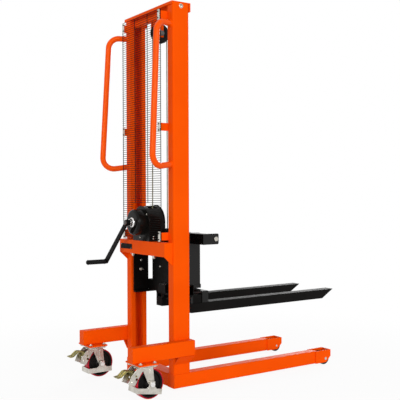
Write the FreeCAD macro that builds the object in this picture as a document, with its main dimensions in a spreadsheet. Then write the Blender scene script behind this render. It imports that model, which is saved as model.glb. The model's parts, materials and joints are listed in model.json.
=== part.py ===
"""Hand pallet stacker: a straddle frame whose fork carriage is raised by a hand winch.

X points forward along the forks, Y to the operator's left and Z up. The origin is on the
floor under the middle of the object's box. In the formulas below X counts from the middle
of the masts, and every piece is then moved by MAST_X as it is placed.
"""
import FreeCAD
import Part
import Sketcher
import math
import os
import re

from FreeCAD import Placement, Rotation, Vector

# Driving dimensions in millimetres. Each becomes a cell of the sheet with this alias.
SIZES = {
    # Clearances
    "run_clear": 0.05,
    "face_clear": 0.3,
    "overrun": 20,
    # Masts: lipped rails whose open sides face each other
    "total_height": 1980,
    "mast_depth": 98,
    "mast_width": 55,
    "mast_wall": 5,
    "mast_slot": 46,
    "mast_gap": 390,
    "mast_corner": 10,
    "lift_hole_dia": 20,
    "lift_hole_drop": 21,
    # Legs with their tip yokes and load rollers
    "leg_width": 60,
    "leg_height": 72,
    "leg_floor_gap": 13,
    "leg_wall": 4,
    "leg_front": 929,
    "tube_corner": 6,
    "yoke_front": 1034,
    "yoke_lap": 24,
    "yoke_plate": 5,
    "yoke_jog": 3,
    "yoke_cut_length": 36,
    "yoke_cut_height": 34,
    "load_roller_dia": 72,
    "load_roller_width": 62,
    "load_roller_x": 992,
    "load_axle_dia": 12,
    "axle_head_dia": 17,
    "axle_head": 3,
    "base_beam_depth": 80,
    "base_beam_height": 67,
    "base_beam_wall": 5,
    # Outriggers that carry the casters
    "outrigger_width": 50,
    "outrigger_height": 78,
    "outrigger_wall": 4,
    "outrigger_rear": 316,
    "outrigger_front": 45,
    "outrigger_floor_gap": 182,
    "gusset_drop": 47,
    "gusset_plate": 9,
    # Top crossbeam and the sheave under it
    "top_plate": 5,
    "top_rear": 55,
    "top_front": 58,
    "top_lip_drop": 45,
    "top_web_rear": 20,
    "top_web_plate": 6,
    "top_flange": 20,
    "top_web_drop": 51,
    "sheave_dia": 106,
    "sheave_width": 20,
    "sheave_bore": 16,
    "sheave_x": 24,
    "sheave_drop": 114,
    "sheave_hub_dia": 36,
    "sheave_face_recess": 4,
    "cheek_plate": 6,
    "cheek_front": 15,
    "cheek_low": 20,
    "cheek_rear": 46,
    "cheek_step": 19,
    "bolt_head_ratio_share": 1.7,
    "pulley_nut": 9,
    # Hoist rope
    "rope_dia": 6,
    "rope_bend": 1000,
    "rope_straight": 90,
    # Winch crossbeam with its side gussets and blank plate
    "cross_rear": 97.5,
    "cross_low": 683,
    "cross_height": 72,
    "cross_wall": 5,
    "cross_inset": 12,
    "cross_gusset_drop": 45,
    "plate_width": 126,
    "plate_height": 28,
    "plate_thick": 1.5,
    "plate_end_gap": 14,
    "plate_top_gap": 22,
    # Winch
    "winch_axis": 854,
    "winch_rear": 97,
    "winch_front": 0,
    "winch_plate": 6,
    "winch_radius": 86,
    "winch_rim": 4,
    "shroud_wall": 2.5,
    "shroud_slot_long": 56,
    "shroud_slot_wide": 46,
    "cover_dia": 137,
    "cover_depth": 49,
    "cover_wall": 3,
    "cover_edge": 9,
    "drum_core_dia": 60,
    "drum_flange_dia": 128,
    "drum_flange": 4,
    "drum_side_gap": 4,
    "drum_hub_dia": 40,
    "drum_journal_dia": 30,
    "carrier_dia": 92,
    "carrier_plate": 5,
    "carrier_gap": 2,
    "planet_pin_dia": 8,
    "gear_module": 2,
    "gear_width": 15,
    "gear_gap": 3,
    "pilot_dia": 12,
    "pilot_length": 18,
    "shaft_dia": 20,
    "boss_dia": 36,
    "boss_length": 22,
    # Crank
    "crank_radius": 324,
    "crank_angle": 43,
    "crank_gap": 10,
    "crank_plate": 10,
    "crank_width": 24,
    "crank_eye_dia": 38,
    "crank_nut": 8,
    "grip_length": 108,
    "grip_dia": 28,
    "grip_pin_dia": 12,
    "grip_cap": 4,
    # Mesh guard and its fixings
    "guard_plane": 95,
    "guard_wire": 3,
    "guard_lap": 6,
    "guard_low": 762,
    "guard_high": 1944,
    "guard_notch_half": 93,
    "guard_notch_high": 951,
    "guard_pitch": 11.5,
    "bracket_plate": 5,
    "bracket_height": 40,
    "clip_height": 52,
    "clip_plate": 2,
    "clip_width": 22,
    "clip_low": 786,
    "clip_middle": 1345,
    "clip_high": 1915,
    # Handles
    "handle_dia": 31,
    "handle_wall": 3,
    "handle_bend": 60,
    "handle_splay": 18,
    "handle_root_inset": 31,
    "handle_high": 1868,
    "handle_high_reach": 104,
    "handle_low": 1135,
    "handle_low_reach": 145,
    "handle_low_root": 1156,
    # Casters
    "caster_x": 249,
    "caster_y": 271,
    "caster_trail": 33,
    "mount_length": 107,
    "mount_width": 140,
    "mount_plate": 7,
    "caster_plate_length": 100,
    "caster_plate_width": 132,
    "caster_plate": 4,
    "caster_bolt_dia": 10,
    "caster_bolt_x": 78,
    "caster_bolt_y": 110,
    "bolt_head": 6,
    "race_dia": 72,
    "race_height": 8,
    "king_dia": 16,
    "crown_dia": 84,
    "crown_plate": 6,
    "wheel_dia": 152,
    "wheel_width": 50,
    "tread_thick": 9,
    "wheel_hub_dia": 44,
    "wheel_web": 20,
    "wheel_axle_dia": 12,
    "wheel_nut_flats": 24,
    "fork_gap": 31,
    "fork_plate": 5,
    "fork_foot": 34,
    "fork_neck": 7,
    "fork_neck_high": 130,
    "guard_rail_gap": 40,
    "guard_rail_plate": 4,
    "guard_rail_low": 29,
    "guard_rail_high": 56,
    "guard_rail_rear": 47,
    "guard_rail_front": 93,
    "guard_rail_tilt": 9,
    "guard_stem_top": 36,
    "guard_stem_foot": 58,
    "guard_stem_neck": 66,
    "guard_stem_high": 92,
    "brake_x": 51,
    "brake_z": 126,
    "brake_pin_dia": 8,
    "brake_pin_head": 2,
    "ear_reach": 28,
    "ear_high": 128,
    "ear_toe": 43,
    "ear_toe_high": 92,
    "ear_heel": 10,
    "ear_low": 78,
    "ear_front": 28,
    "ear_front_high": 136,
    "pedal_reach": 393,
    "pedal_width": 46,
    "pedal_plate": 4,
    "pedal_rise": 26,
    "shoe_reach": 5,
    "shoe_low": 90,
    "shoe_plate": 9,
    "shoe_width": 40,
    # Carriage
    "side_plate": 8,
    "side_gap": 6,
    "side_rear": 39,
    "side_front": 53,
    "side_low": 459,
    "side_high": 812,
    "side_foot_in": 20,
    "roller_low": 508,
    "roller_high": 758,
    "rail_roller_dia": 87,
    "rail_roller_width": 34,
    "rail_roller_gap": 3,
    "rail_roller_edge": 1.2,
    "rail_axle_dia": 25,
    "rail_axle_head_dia": 38,
    "rail_axle_head": 5,
    "rear_bar_depth": 60,
    "rear_bar_low": 467,
    "rear_bar_high": 527,
    "bar_wall": 5,
    "front_bar_x": 172,
    "front_bar_depth": 40,
    "low_bar_height": 60,
    "high_bar_low": 732,
    "high_bar_height": 58,
    "high_bar_gap": 3,
    "arm_plate": 12,
    "arm_front": 273,
    "arm_corner": 8,
    "arm_bolt_back": 20,
    "arm_bolt_dia": 14,
    "tie_width": 20,
    "post_inner": 25,
    "post_outer": 65,
    "post_depth": 66,
    "post_foot": 22,
    "post_foot_lap": 3,
    "anchor_half": 125,
    "anchor_foot_half": 80,
    "anchor_corner_high": 524,
    "anchor_plate": 8,
    "anchor_high": 792,
    "anchor_block": 26,
    "anchor_block_half": 18,
    "anchor_block_height": 24,
    # Forks
    "fork_rear": 103,
    "fork_tip": 1130,
    "fork_low": 375,
    "fork_height": 52,
    "fork_width": 62,
    "fork_outer": 180,
    "fork_wall": 6,
    "fork_tip_length": 87,
    "fork_seat": 2,
}

# Counts and shares
SUN_TEETH = 18
PLANET_TEETH = 18
RING_TEETH = SUN_TEETH + 2 * PLANET_TEETH
PLANETS = 2
TOOTH_TIP_SHARE = 0.8
TOOTH_ROOT_SHARE = 1.15
TOOTH_TIP_WIDTH_SHARE = 0.17
TOOTH_ROOT_WIDTH_SHARE = 0.31
GUARD_COLUMNS = 3
GROOVE_EDGE_SHARE = 0.75
GROOVE_FLOOR_SHARE = 0.4
PEDAL_TOP_SHARES = [(0.0, 0.75), (0.42, 1.0), (0.52, 0.96), (0.72, 0.35), (0.80, 0.16), (1.0, 0.08)]

SIDES = (("left", 1), ("right", -1))

# Places that several pieces share, as formulas of the sizes above
MAST_X = "((pedal_reach - fork_tip)/2)"
MAST_IN = "(mast_gap/2)"
MAST_OUT = "(mast_gap/2 + mast_width)"
MAST_REAR = "(-mast_depth/2)"
MAST_FRONT = "(mast_depth/2)"
MAST_TOP = "(total_height - top_plate)"
LEG_IN = f"({MAST_OUT} - leg_width)"
LEG_MIDDLE = f"({MAST_OUT} - leg_width/2)"
LEG_TOP = "(leg_floor_gap + leg_height)"
OUTRIGGER_OUT = f"({MAST_OUT} + outrigger_width)"
SHEAVE_Z = "(total_height - sheave_drop)"
ROPE_RADIUS = "(sheave_dia/2 - rope_dia - rope_dia/2)"
CROSS_TOP = "(cross_low + cross_height)"
CROSS_HALF = f"({MAST_OUT} - cross_inset)"
WINCH_FLOOR = f"({CROSS_TOP} + winch_plate)"
DRUM_REAR = "(-winch_rear + winch_plate + drum_side_gap)"
DRUM_FRONT = "(-winch_front - winch_plate - drum_side_gap)"
COVER_REAR = "(-winch_rear - cover_depth)"
CARRIER_FRONT = "(-winch_rear - carrier_gap)"
CARRIER_REAR = f"({CARRIER_FRONT} - carrier_plate)"
GEAR_FRONT = f"({CARRIER_REAR} - gear_gap)"
GEAR_REAR = f"({GEAR_FRONT} - gear_width)"
GEAR_ORBIT = f"(gear_module*{SUN_TEETH + PLANET_TEETH}/2)"
WINDING_DIA = "(drum_core_dia + 2*rope_dia)"
ROPE_EXIT_Y = f"(-({WINDING_DIA}/2 + rope_dia/2 + face_clear))"
ROPE_EXIT_X = f"(({DRUM_REAR} + {DRUM_FRONT})/2)"
BOSS_REAR = f"({COVER_REAR} - face_clear - boss_length)"
CRANK_FRONT = f"({BOSS_REAR} - crank_gap)"
CRANK_REAR = f"({CRANK_FRONT} - crank_plate)"
PIN_Y = "(crank_radius*cos(crank_angle))"
PIN_Z = "(winch_axis - crank_radius*sin(crank_angle))"
GRIP_FRONT = f"({CRANK_REAR} - face_clear)"
GRIP_REAR = f"({GRIP_FRONT} - grip_length)"
MOUNT_LOW = "(outrigger_floor_gap - mount_plate)"
CASTER_PLATE_LOW = f"({MOUNT_LOW} - caster_plate)"
RACE_LOW = f"({CASTER_PLATE_LOW} - race_height)"
CROWN_TOP = f"({RACE_LOW} - face_clear)"
CROWN_LOW = f"({CROWN_TOP} - crown_plate)"
WHEEL_X = "(-caster_x + caster_trail)"
WHEEL_Z = "(wheel_dia/2)"
BRAKE_X = "(-caster_x - brake_x)"
SIDE_OUT = f"({MAST_IN} - side_gap)"
SIDE_IN = f"({SIDE_OUT} - side_plate)"
ROLLER_IN = f"({MAST_IN} + mast_wall + rail_roller_gap)"
ROLLER_OUT = f"({ROLLER_IN} + rail_roller_width)"
HIGH_BAR_HALF = f"({MAST_IN} - high_bar_gap)"
FORK_TOP = "(fork_low + fork_height)"
FORK_SEAT = "(fork_low + fork_height - fork_seat)"
FORK_IN = "(fork_outer - fork_width)"
FRONT_BAR_FRONT = "(front_bar_x + front_bar_depth)"
LOW_BAR_TOP = f"({FORK_TOP} + low_bar_height)"
HIGH_BAR_TOP = "(high_bar_low + high_bar_height)"
ROPE_FALL_X = f"(sheave_x + {ROPE_RADIUS})"
ANCHOR_TOP = "(anchor_high + anchor_block_height)"

doc = FreeCAD.newDocument("hand_pallet_stacker")
sheet = doc.addObject("Spreadsheet::Sheet", "Sizes")
for row, (alias, value) in enumerate(SIZES.items(), start=1):
    sheet.set(f"A{row}", alias)
    sheet.set(f"B{row}", str(value))
    sheet.setAlias(f"B{row}", alias)
doc.recompute()

nodes = {}


def on_sheet(formula):
    """Write each size's name in a formula as a cell of the sheet."""
    return re.sub(r"[a-z_]+", lambda word: f"Sizes.{word[0]}" if word[0] in SIZES else word[0], formula)


def value_of(formula):
    """Work a formula out in millimetres, for shapes that are made point by point."""
    return float(sheet.evalExpression(on_sheet(formula)))


def place(piece, x="0", y="0", z="0"):
    """Bind a piece's place to the sheet, with X counted from the middle of the masts."""
    piece.setExpression("Placement.Base.x", on_sheet(f"{MAST_X} + ({x})"))
    piece.setExpression("Placement.Base.y", on_sheet(y))
    piece.setExpression("Placement.Base.z", on_sheet(z))


def keep(label, piece):
    """Give a finished piece its label and list it as a node."""
    piece.Label = label
    nodes[label] = piece
    return piece


def across(side, low, high):
    """The span from low to high on the left side, or its mirror image on the right."""
    if side > 0:
        return low, high
    return f"-({high})", f"-({low})"


def block(x, y, z):
    """A box between two formulas along each axis."""
    box = doc.addObject("Part::Box", "block")
    box.setExpression("Length", on_sheet(f"({x[1]}) - ({x[0]})"))
    box.setExpression("Width", on_sheet(f"({y[1]}) - ({y[0]})"))
    box.setExpression("Height", on_sheet(f"({z[1]}) - ({z[0]})"))
    place(box, x[0], y[0], z[0])
    return box


def rod(axis, dia, span, centre):
    """A cylinder along an axis, with its centre given on the other two axes in order."""
    cylinder = doc.addObject("Part::Cylinder", "rod")
    cylinder.setExpression("Radius", on_sheet(f"({dia})/2"))
    cylinder.setExpression("Height", on_sheet(f"({span[1]}) - ({span[0]})"))
    if axis == "X":
        cylinder.Placement = Placement(Vector(), Rotation(Vector(0, 1, 0), 90))
        place(cylinder, span[0], centre[0], centre[1])
    elif axis == "Y":
        cylinder.Placement = Placement(Vector(), Rotation(Vector(1, 0, 0), -90))
        place(cylinder, centre[0], span[0], centre[1])
    else:
        place(cylinder, centre[0], centre[1], span[0])
    return cylinder


def hexagon(axis, across_flats, span, centre):
    """A hexagonal nut or bolt head along an axis."""
    prism = doc.addObject("Part::Prism", "hexagon")
    prism.Polygon = 6
    prism.setExpression("Circumradius", on_sheet(f"({across_flats})/sqrt(3)"))
    prism.setExpression("Height", on_sheet(f"({span[1]}) - ({span[0]})"))
    if axis == "X":
        prism.Placement = Placement(Vector(), Rotation(Vector(0, 1, 0), 90))
        place(prism, span[0], centre[0], centre[1])
    elif axis == "Y":
        prism.Placement = Placement(Vector(), Rotation(Vector(1, 0, 0), -90))
        place(prism, centre[0], span[0], centre[1])
    else:
        place(prism, centre[0], centre[1], span[0])
    return prism


def outline_sketch(body, outline):
    """A closed outline of straight edges whose corners are bound to the sheet."""
    sketch = body.newObject("Sketcher::SketchObject", "outline")
    plane = [item for item in body.Origin.OriginFeatures if item.Role == "XY_Plane"][0]
    sketch.AttachmentSupport = [(plane, "")]
    sketch.MapMode = "FlatFace"
    corners = [Vector(value_of(u), value_of(v), 0) for u, v in outline]
    count = len(corners)
    for number in range(count):
        sketch.addGeometry(Part.LineSegment(corners[number], corners[(number + 1) % count]), False)
    for number in range(count):
        sketch.addConstraint(Sketcher.Constraint("Coincident", number, 2, (number + 1) % count, 1))
    for number, (u, v) in enumerate(outline):
        for kind, formula in (("DistanceX", u), ("DistanceY", v)):
            rule = Sketcher.Constraint(kind, -1, 1, number, 1, value_of(formula))
            index = sketch.addConstraint(rule)
            sketch.setExpression(f"Constraints[{index}]", on_sheet(formula))
    return sketch


def profile(axis, outline, span):
    """A body padded along an axis from an outline on the other two axes in order."""
    body = doc.addObject("PartDesign::Body", "profile")
    sketch = outline_sketch(body, outline)
    pad = body.newObject("PartDesign::Pad", "pad")
    pad.Profile = sketch
    pad.setExpression("Length", on_sheet(f"({span[1]}) - ({span[0]})"))
    if axis == "X":
        turn = Rotation(Vector(0, 1, 0), Vector(0, 0, 1), Vector(1, 0, 0), "XYZ")
        body.Placement = Placement(Vector(), turn)
        place(body, span[0])
    elif axis == "Y":
        body.Placement = Placement(Vector(), Rotation(Vector(1, 0, 0), 90))
        place(body, y=span[1])
    else:
        place(body, z=span[0])
    return body


def turned(axis, outline, centre):
    """A body turned about an axis from an outline of (place along the axis, radius)."""
    body = doc.addObject("PartDesign::Body", "turned")
    sketch = outline_sketch(body, outline)
    turn = body.newObject("PartDesign::Revolution", "turn")
    turn.Profile = sketch
    turn.ReferenceAxis = (sketch, ["H_Axis"])
    turn.Angle = 360
    if axis == "Y":
        body.Placement = Placement(Vector(), Rotation(Vector(0, 0, 1), 90))
    place(body, *centre)
    return body


def fuse(*pieces):
    """One solid from several."""
    joined = doc.addObject("Part::MultiFuse", "joined")
    joined.Shapes = list(pieces)
    joined.Refine = True
    return joined


def cut(base, *tools):
    """A solid with others taken out of it."""
    cutting = doc.addObject("Part::Cut", "cutting")
    cutting.Base = base
    cutting.Tool = tools[0] if len(tools) == 1 else fuse(*tools)
    return cutting


def group(*pieces):
    """Separate solids that share a node."""
    compound = doc.addObject("Part::Compound", "set")
    compound.Links = list(pieces)
    return compound


def rounded(solid, size, axis, wanted=None):
    """Round a solid's edges along an axis, all of them or the wanted ones."""
    doc.recompute()
    radius = value_of(size)
    direction = {"X": Vector(1, 0, 0), "Y": Vector(0, 1, 0), "Z": Vector(0, 0, 1)}[axis]
    edges = []
    for number, edge in enumerate(solid.Shape.Edges, start=1):
        along = edge.Vertexes[-1].Point - edge.Vertexes[0].Point
        parallel = along.cross(direction).Length < 1e-6
        if parallel and (wanted is None or wanted(edge.CenterOfMass)):
            edges.append((number, radius, radius))
    fillet = doc.addObject("Part::Fillet", "rounded")
    fillet.Base = solid
    fillet.Edges = edges
    return fillet


def shaped(shape):
    """A piece whose shape is made point by point, placed with the masts."""
    piece = doc.addObject("Part::Feature", "shaped")
    piece.Shape = shape
    place(piece)
    return piece


def rounded_path(corners, radii):
    """A wire of straight runs through the corners, joined by tangent arcs."""
    edges = []
    start = corners[0]
    for before, corner, after, radius in zip(corners, corners[1:], corners[2:], radii):
        to_before = (before - corner).normalize()
        to_after = (after - corner).normalize()
        half = to_before.getAngle(to_after) / 2
        reach = radius / math.tan(half)
        bisector = (to_before + to_after).normalize()
        middle = corner + bisector * (radius / math.sin(half) - radius)
        arc_start = corner + to_before * reach
        arc_end = corner + to_after * reach
        edges.append(Part.LineSegment(start, arc_start).toShape())
        edges.append(Part.Arc(arc_start, middle, arc_end).toShape())
        start = arc_end
    edges.append(Part.LineSegment(start, corners[-1]).toShape())
    return edges


def swept_round(edges, dia):
    """A round bar swept along a path."""
    path = Part.Wire(edges)
    first = edges[0]
    direction = first.tangentAt(first.FirstParameter)
    circle = Part.makeCircle(dia / 2, edges[0].Vertexes[0].Point, direction)
    sweep = Part.BRepOffsetAPI.MakePipeShell(path)
    sweep.add(Part.Wire(circle))
    sweep.build()
    sweep.makeSolid()
    return sweep.shape()


# Masts: rails folded from strip, standing on the rear ends of the legs
for side_name, side in SIDES:
    web_is_outside = lambda point, side=side: point.y * side > value_of(f"{MAST_IN} + mast_width/2")
    bar = block((MAST_REAR, MAST_FRONT), across(side, MAST_IN, MAST_OUT), (LEG_TOP, MAST_TOP))
    bar = rounded(bar, "mast_corner", "Z", web_is_outside)
    run = (f"{LEG_TOP} - overrun", f"{MAST_TOP} + overrun")
    inside = block(
        (f"{MAST_REAR} + mast_wall", f"{MAST_FRONT} - mast_wall"),
        across(side, f"{MAST_IN} + mast_wall", f"{MAST_OUT} - mast_wall"),
        run,
    )
    inside = rounded(inside, "mast_corner - mast_wall", "Z", web_is_outside)
    slot_reach = across(side, f"{MAST_IN} - overrun", f"{MAST_IN} + mast_width/2")
    slot = block(("-mast_slot/2", "mast_slot/2"), slot_reach, run)
    hole_reach = across(side, f"{MAST_OUT} - mast_wall - overrun/2", f"{MAST_OUT} + overrun")
    hole = rod("Y", "lift_hole_dia", hole_reach, ("0", "total_height - lift_hole_drop"))
    keep(f"mast_{side_name}", cut(bar, inside, slot, hole))

# Legs: box tubes with a closed heel, open into the yoke at the tip
for side_name, side in SIDES:
    tube = block((MAST_REAR, "leg_front"), across(side, LEG_IN, MAST_OUT), ("leg_floor_gap", LEG_TOP))
    tube = rounded(tube, "tube_corner", "X")
    hollow = block(
        (f"{MAST_REAR} + leg_wall", "leg_front + overrun"),
        across(side, f"{LEG_IN} + leg_wall", f"{MAST_OUT} - leg_wall"),
        ("leg_floor_gap + leg_wall", f"{LEG_TOP} - leg_wall"),
    )
    keep(f"leg_{side_name}", cut(tube, hollow))

# Tip yokes: bent plate that laps the leg's end and holds the load roller's axle
YOKE_HALF = "(leg_width/2 + yoke_jog + yoke_plate)"
LOAD_ROLLER_Z = "(load_roller_dia/2)"
for side_name, side in SIDES:
    body = profile(
        "Y",
        [
            ("leg_front - yoke_lap", "leg_floor_gap"),
            ("yoke_front - yoke_cut_length", "leg_floor_gap"),
            ("yoke_front", "leg_floor_gap + yoke_cut_height"),
            ("yoke_front", LEG_TOP),
            ("leg_front - yoke_lap", LEG_TOP),
        ],
        across(side, f"{LEG_MIDDLE} - {YOKE_HALF}", f"{LEG_MIDDLE} + {YOKE_HALF}"),
    )
    through = ("leg_floor_gap - overrun", f"{LEG_TOP} + overrun")
    sleeve = block(
        ("leg_front - yoke_lap - overrun", "leg_front"),
        across(side, LEG_IN, MAST_OUT),
        through,
    )
    pocket = block(
        ("leg_front", "yoke_front - yoke_plate"),
        across(side, f"{LEG_IN} - yoke_jog", f"{MAST_OUT} + yoke_jog"),
        through,
    )
    axle_reach = across(side, f"{LEG_IN} - overrun", f"{MAST_OUT} + overrun")
    axle_hole = rod("Y", "load_axle_dia + 2*run_clear", axle_reach, ("load_roller_x", LOAD_ROLLER_Z))
    keep(f"leg_yoke_{side_name}", cut(body, sleeve, pocket, axle_hole))

# Load rollers and the pins that they turn on
load_pins = []
for side_name, side in SIDES:
    half = "load_roller_width/2"
    edge = "load_roller_width/2 - axle_head"
    bore = "load_axle_dia/2 + run_clear"
    outer = "load_roller_dia/2"
    rim = "load_roller_dia/2 - axle_head"
    outline = [
        (f"-({half})", bore),
        (half, bore),
        (half, rim),
        (edge, outer),
        (f"-({edge})", outer),
        (f"-({half})", rim),
    ]
    middle = LEG_MIDDLE if side > 0 else f"-{LEG_MIDDLE}"
    keep(f"load_roller_{side_name}", turned("Y", outline, ("load_roller_x", middle, LOAD_ROLLER_Z)))
    spot = ("load_roller_x", LOAD_ROLLER_Z)
    far = f"{LEG_MIDDLE} + {YOKE_HALF}"
    near = f"{LEG_MIDDLE} - {YOKE_HALF}"
    pin = rod("Y", "load_axle_dia", across(side, near, f"{far} + axle_head"), spot)
    head = rod("Y", "axle_head_dia", across(side, far, f"{far} + axle_head"), spot)
    load_pins.append(fuse(pin, head))
keep("load_roller_pins", group(*load_pins))

# Base crossbeam: a box tube welded between the legs' heels
beam = block(
    (MAST_REAR, f"{MAST_REAR} + base_beam_depth"),
    (f"-{LEG_IN}", LEG_IN),
    ("leg_floor_gap", "leg_floor_gap + base_beam_height"),
)
hollow = block(
    (f"{MAST_REAR} + base_beam_wall", f"{MAST_REAR} + base_beam_depth - base_beam_wall"),
    (f"-{LEG_IN} - overrun", f"{LEG_IN} + overrun"),
    ("leg_floor_gap + base_beam_wall", "leg_floor_gap + base_beam_height - base_beam_wall"),
)
keep("base_crossbeam", cut(rounded(beam, "tube_corner", "Y"), hollow))

# Outriggers: box tubes on the masts' outer sides, each with its caster mount plate and a
# gusset that slopes from the tube's outer lower edge to the mast
OUTRIGGER_TOP = "(outrigger_floor_gap + outrigger_height)"
for side_name, side in SIDES:
    tube = block(
        ("-outrigger_rear", "outrigger_front"),
        across(side, MAST_OUT, OUTRIGGER_OUT),
        ("outrigger_floor_gap", OUTRIGGER_TOP),
    )
    hollow = block(
        ("-outrigger_rear + outrigger_wall", "outrigger_front + overrun"),
        across(side, f"{MAST_OUT} + outrigger_wall", f"{OUTRIGGER_OUT} - outrigger_wall"),
        ("outrigger_floor_gap + outrigger_wall", f"{OUTRIGGER_TOP} - outrigger_wall"),
    )
    tube = cut(rounded(tube, "tube_corner", "X"), hollow)
    plate = block(
        ("-caster_x - mount_length/2", "-caster_x + mount_length/2"),
        across(side, "caster_y - mount_width/2", "caster_y + mount_width/2"),
        (MOUNT_LOW, "outrigger_floor_gap"),
    )
    holes = []
    for along in ("-caster_bolt_x/2", "caster_bolt_x/2"):
        for over in ("-caster_bolt_y/2", "caster_bolt_y/2"):
            middle = f"caster_y*{side} + {over}"
            hole_run = (f"{MOUNT_LOW} - overrun/2", "outrigger_floor_gap + overrun/2")
            hole_dia = "caster_bolt_dia + 2*run_clear"
            holes.append(rod("Z", hole_dia, hole_run, (f"-caster_x + {along}", middle)))
    slope = "gusset_drop/outrigger_width"
    outline = [
        (f"{OUTRIGGER_OUT}*{side}", "outrigger_floor_gap"),
        (f"({OUTRIGGER_OUT} - gusset_plate)*{side}", "outrigger_floor_gap"),
        (f"{MAST_OUT}*{side}", f"outrigger_floor_gap - (outrigger_width - gusset_plate)*{slope}"),
        (f"{MAST_OUT}*{side}", "outrigger_floor_gap - gusset_drop"),
    ]
    gusset = profile("X", outline, (MAST_REAR, "outrigger_front"))
    keep(f"outrigger_{side_name}", fuse(tube, gusset, cut(plate, *holes)))

# Top crossbeam: a plate over both masts with a lip in front of each, and a flanged web
# between them
CHEEK_IN = "(sheave_width/2 + face_clear)"
WEB_FRONT = "(-top_web_rear + top_web_plate)"
WEB_LOW = "(total_height - top_web_drop)"
plate = block(("-top_rear", "top_front"), (f"-{MAST_OUT}", MAST_OUT), (MAST_TOP, "total_height"))
web = block(("-top_web_rear", WEB_FRONT), (f"-{MAST_IN}", MAST_IN), (WEB_LOW, MAST_TOP))
welded = [plate, web]
for side_name, side in SIDES:
    lip = block(
        (MAST_FRONT, "top_front"),
        across(side, MAST_IN, MAST_OUT),
        ("total_height - top_lip_drop", MAST_TOP),
    )
    flange = block(
        ("-top_web_rear", "-top_web_rear + top_flange"),
        across(side, f"{CHEEK_IN} + cheek_plate", MAST_IN),
        (WEB_LOW, f"{WEB_LOW} + top_web_plate"),
    )
    welded.extend([lip, flange])
keep("top_crossbeam", fuse(*welded))

# Pulley bracket: two cheek plates that hang from the top crossbeam
cheeks = []
for side_name, side in SIDES:
    outline = [
        (WEB_FRONT, MAST_TOP),
        ("sheave_x + cheek_front", MAST_TOP),
        ("sheave_x + cheek_front", f"{SHEAVE_Z} - cheek_low"),
        ("sheave_x - cheek_front", f"{SHEAVE_Z} - cheek_low"),
        ("sheave_x - cheek_rear", f"{SHEAVE_Z} + cheek_step"),
        ("sheave_x - cheek_rear", WEB_LOW),
        (WEB_FRONT, WEB_LOW),
    ]
    cheek = profile("Y", outline, across(side, CHEEK_IN, f"{CHEEK_IN} + cheek_plate"))
    hole_reach = across(side, "0", f"{CHEEK_IN} + cheek_plate + overrun")
    hole = rod("Y", "sheave_bore + 2*run_clear", hole_reach, ("sheave_x", SHEAVE_Z))
    cheeks.append(cut(cheek, hole))
keep("pulley_bracket", group(*cheeks))

# Sheave: a cast wheel with a rope groove, and the bolt that it turns on
half = "sheave_width/2"
groove_edge = f"rope_dia*{GROOVE_EDGE_SHARE}"
groove_floor = f"rope_dia*{GROOVE_FLOOR_SHARE}"
outline = [
    (f"-({half})", "sheave_bore/2 + run_clear"),
    (half, "sheave_bore/2 + run_clear"),
    (half, "sheave_hub_dia/2"),
    (f"{half} - sheave_face_recess", "sheave_hub_dia/2 + sheave_face_recess"),
    (f"{half} - sheave_face_recess", f"{ROPE_RADIUS} - rope_dia - sheave_face_recess"),
    (half, f"{ROPE_RADIUS} - rope_dia"),
    (half, "sheave_dia/2"),
    (groove_edge, "sheave_dia/2"),
    ("rope_dia/2 + face_clear", f"{ROPE_RADIUS}"),
    (groove_floor, f"{ROPE_RADIUS} - rope_dia/2 - face_clear"),
    (f"-({groove_floor})", f"{ROPE_RADIUS} - rope_dia/2 - face_clear"),
    ("-rope_dia/2 - face_clear", f"{ROPE_RADIUS}"),
    (f"-({groove_edge})", "sheave_dia/2"),
    (f"-({half})", "sheave_dia/2"),
    (f"-({half})", f"{ROPE_RADIUS} - rope_dia"),
    (f"-({half} - sheave_face_recess)", f"{ROPE_RADIUS} - rope_dia - sheave_face_recess"),
    (f"-({half} - sheave_face_recess)", "sheave_hub_dia/2 + sheave_face_recess"),
    (f"-({half})", "sheave_hub_dia/2"),
]
keep("sheave", turned("Y", outline, ("sheave_x", "0", SHEAVE_Z)))
bolt_end = f"({CHEEK_IN} + cheek_plate + pulley_nut)"
spot = ("sheave_x", SHEAVE_Z)
head_size = "sheave_bore*bolt_head_ratio_share"
stem = rod("Y", "sheave_bore", (f"-{bolt_end}", bolt_end), spot)
head = hexagon("Y", head_size, (f"-{bolt_end}", f"-({CHEEK_IN} + cheek_plate)"), spot)
nut = hexagon("Y", head_size, (f"{CHEEK_IN} + cheek_plate", bolt_end), spot)
keep("pulley_bolt", fuse(stem, head, nut))

# Hoist rope: up from the drum, over the sheave, then the fall to the carriage
sheave_x = value_of("sheave_x")
sheave_z = value_of(SHEAVE_Z)
rope_radius = value_of(ROPE_RADIUS)
drum_point = Vector(value_of(ROPE_EXIT_X), value_of(ROPE_EXIT_Y), value_of("winch_axis"))
rear_point = Vector(sheave_x - rope_radius, 0, sheave_z)
turn_point = rear_point - Vector(0, 0, value_of("rope_straight"))
rope_edges = rounded_path([drum_point, turn_point, rear_point], [value_of("rope_bend")])
over_point = Vector(sheave_x, 0, sheave_z + rope_radius)
front_point = Vector(sheave_x + rope_radius, 0, sheave_z)
rope_edges.append(Part.Arc(rear_point, over_point, front_point).toShape())
keep("hoist_rope", shaped(swept_round(rope_edges, value_of("rope_dia"))))
keep("rope_front_fall", rod("Z", "rope_dia", (ANCHOR_TOP, SHEAVE_Z), (ROPE_FALL_X, "0")))

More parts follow.
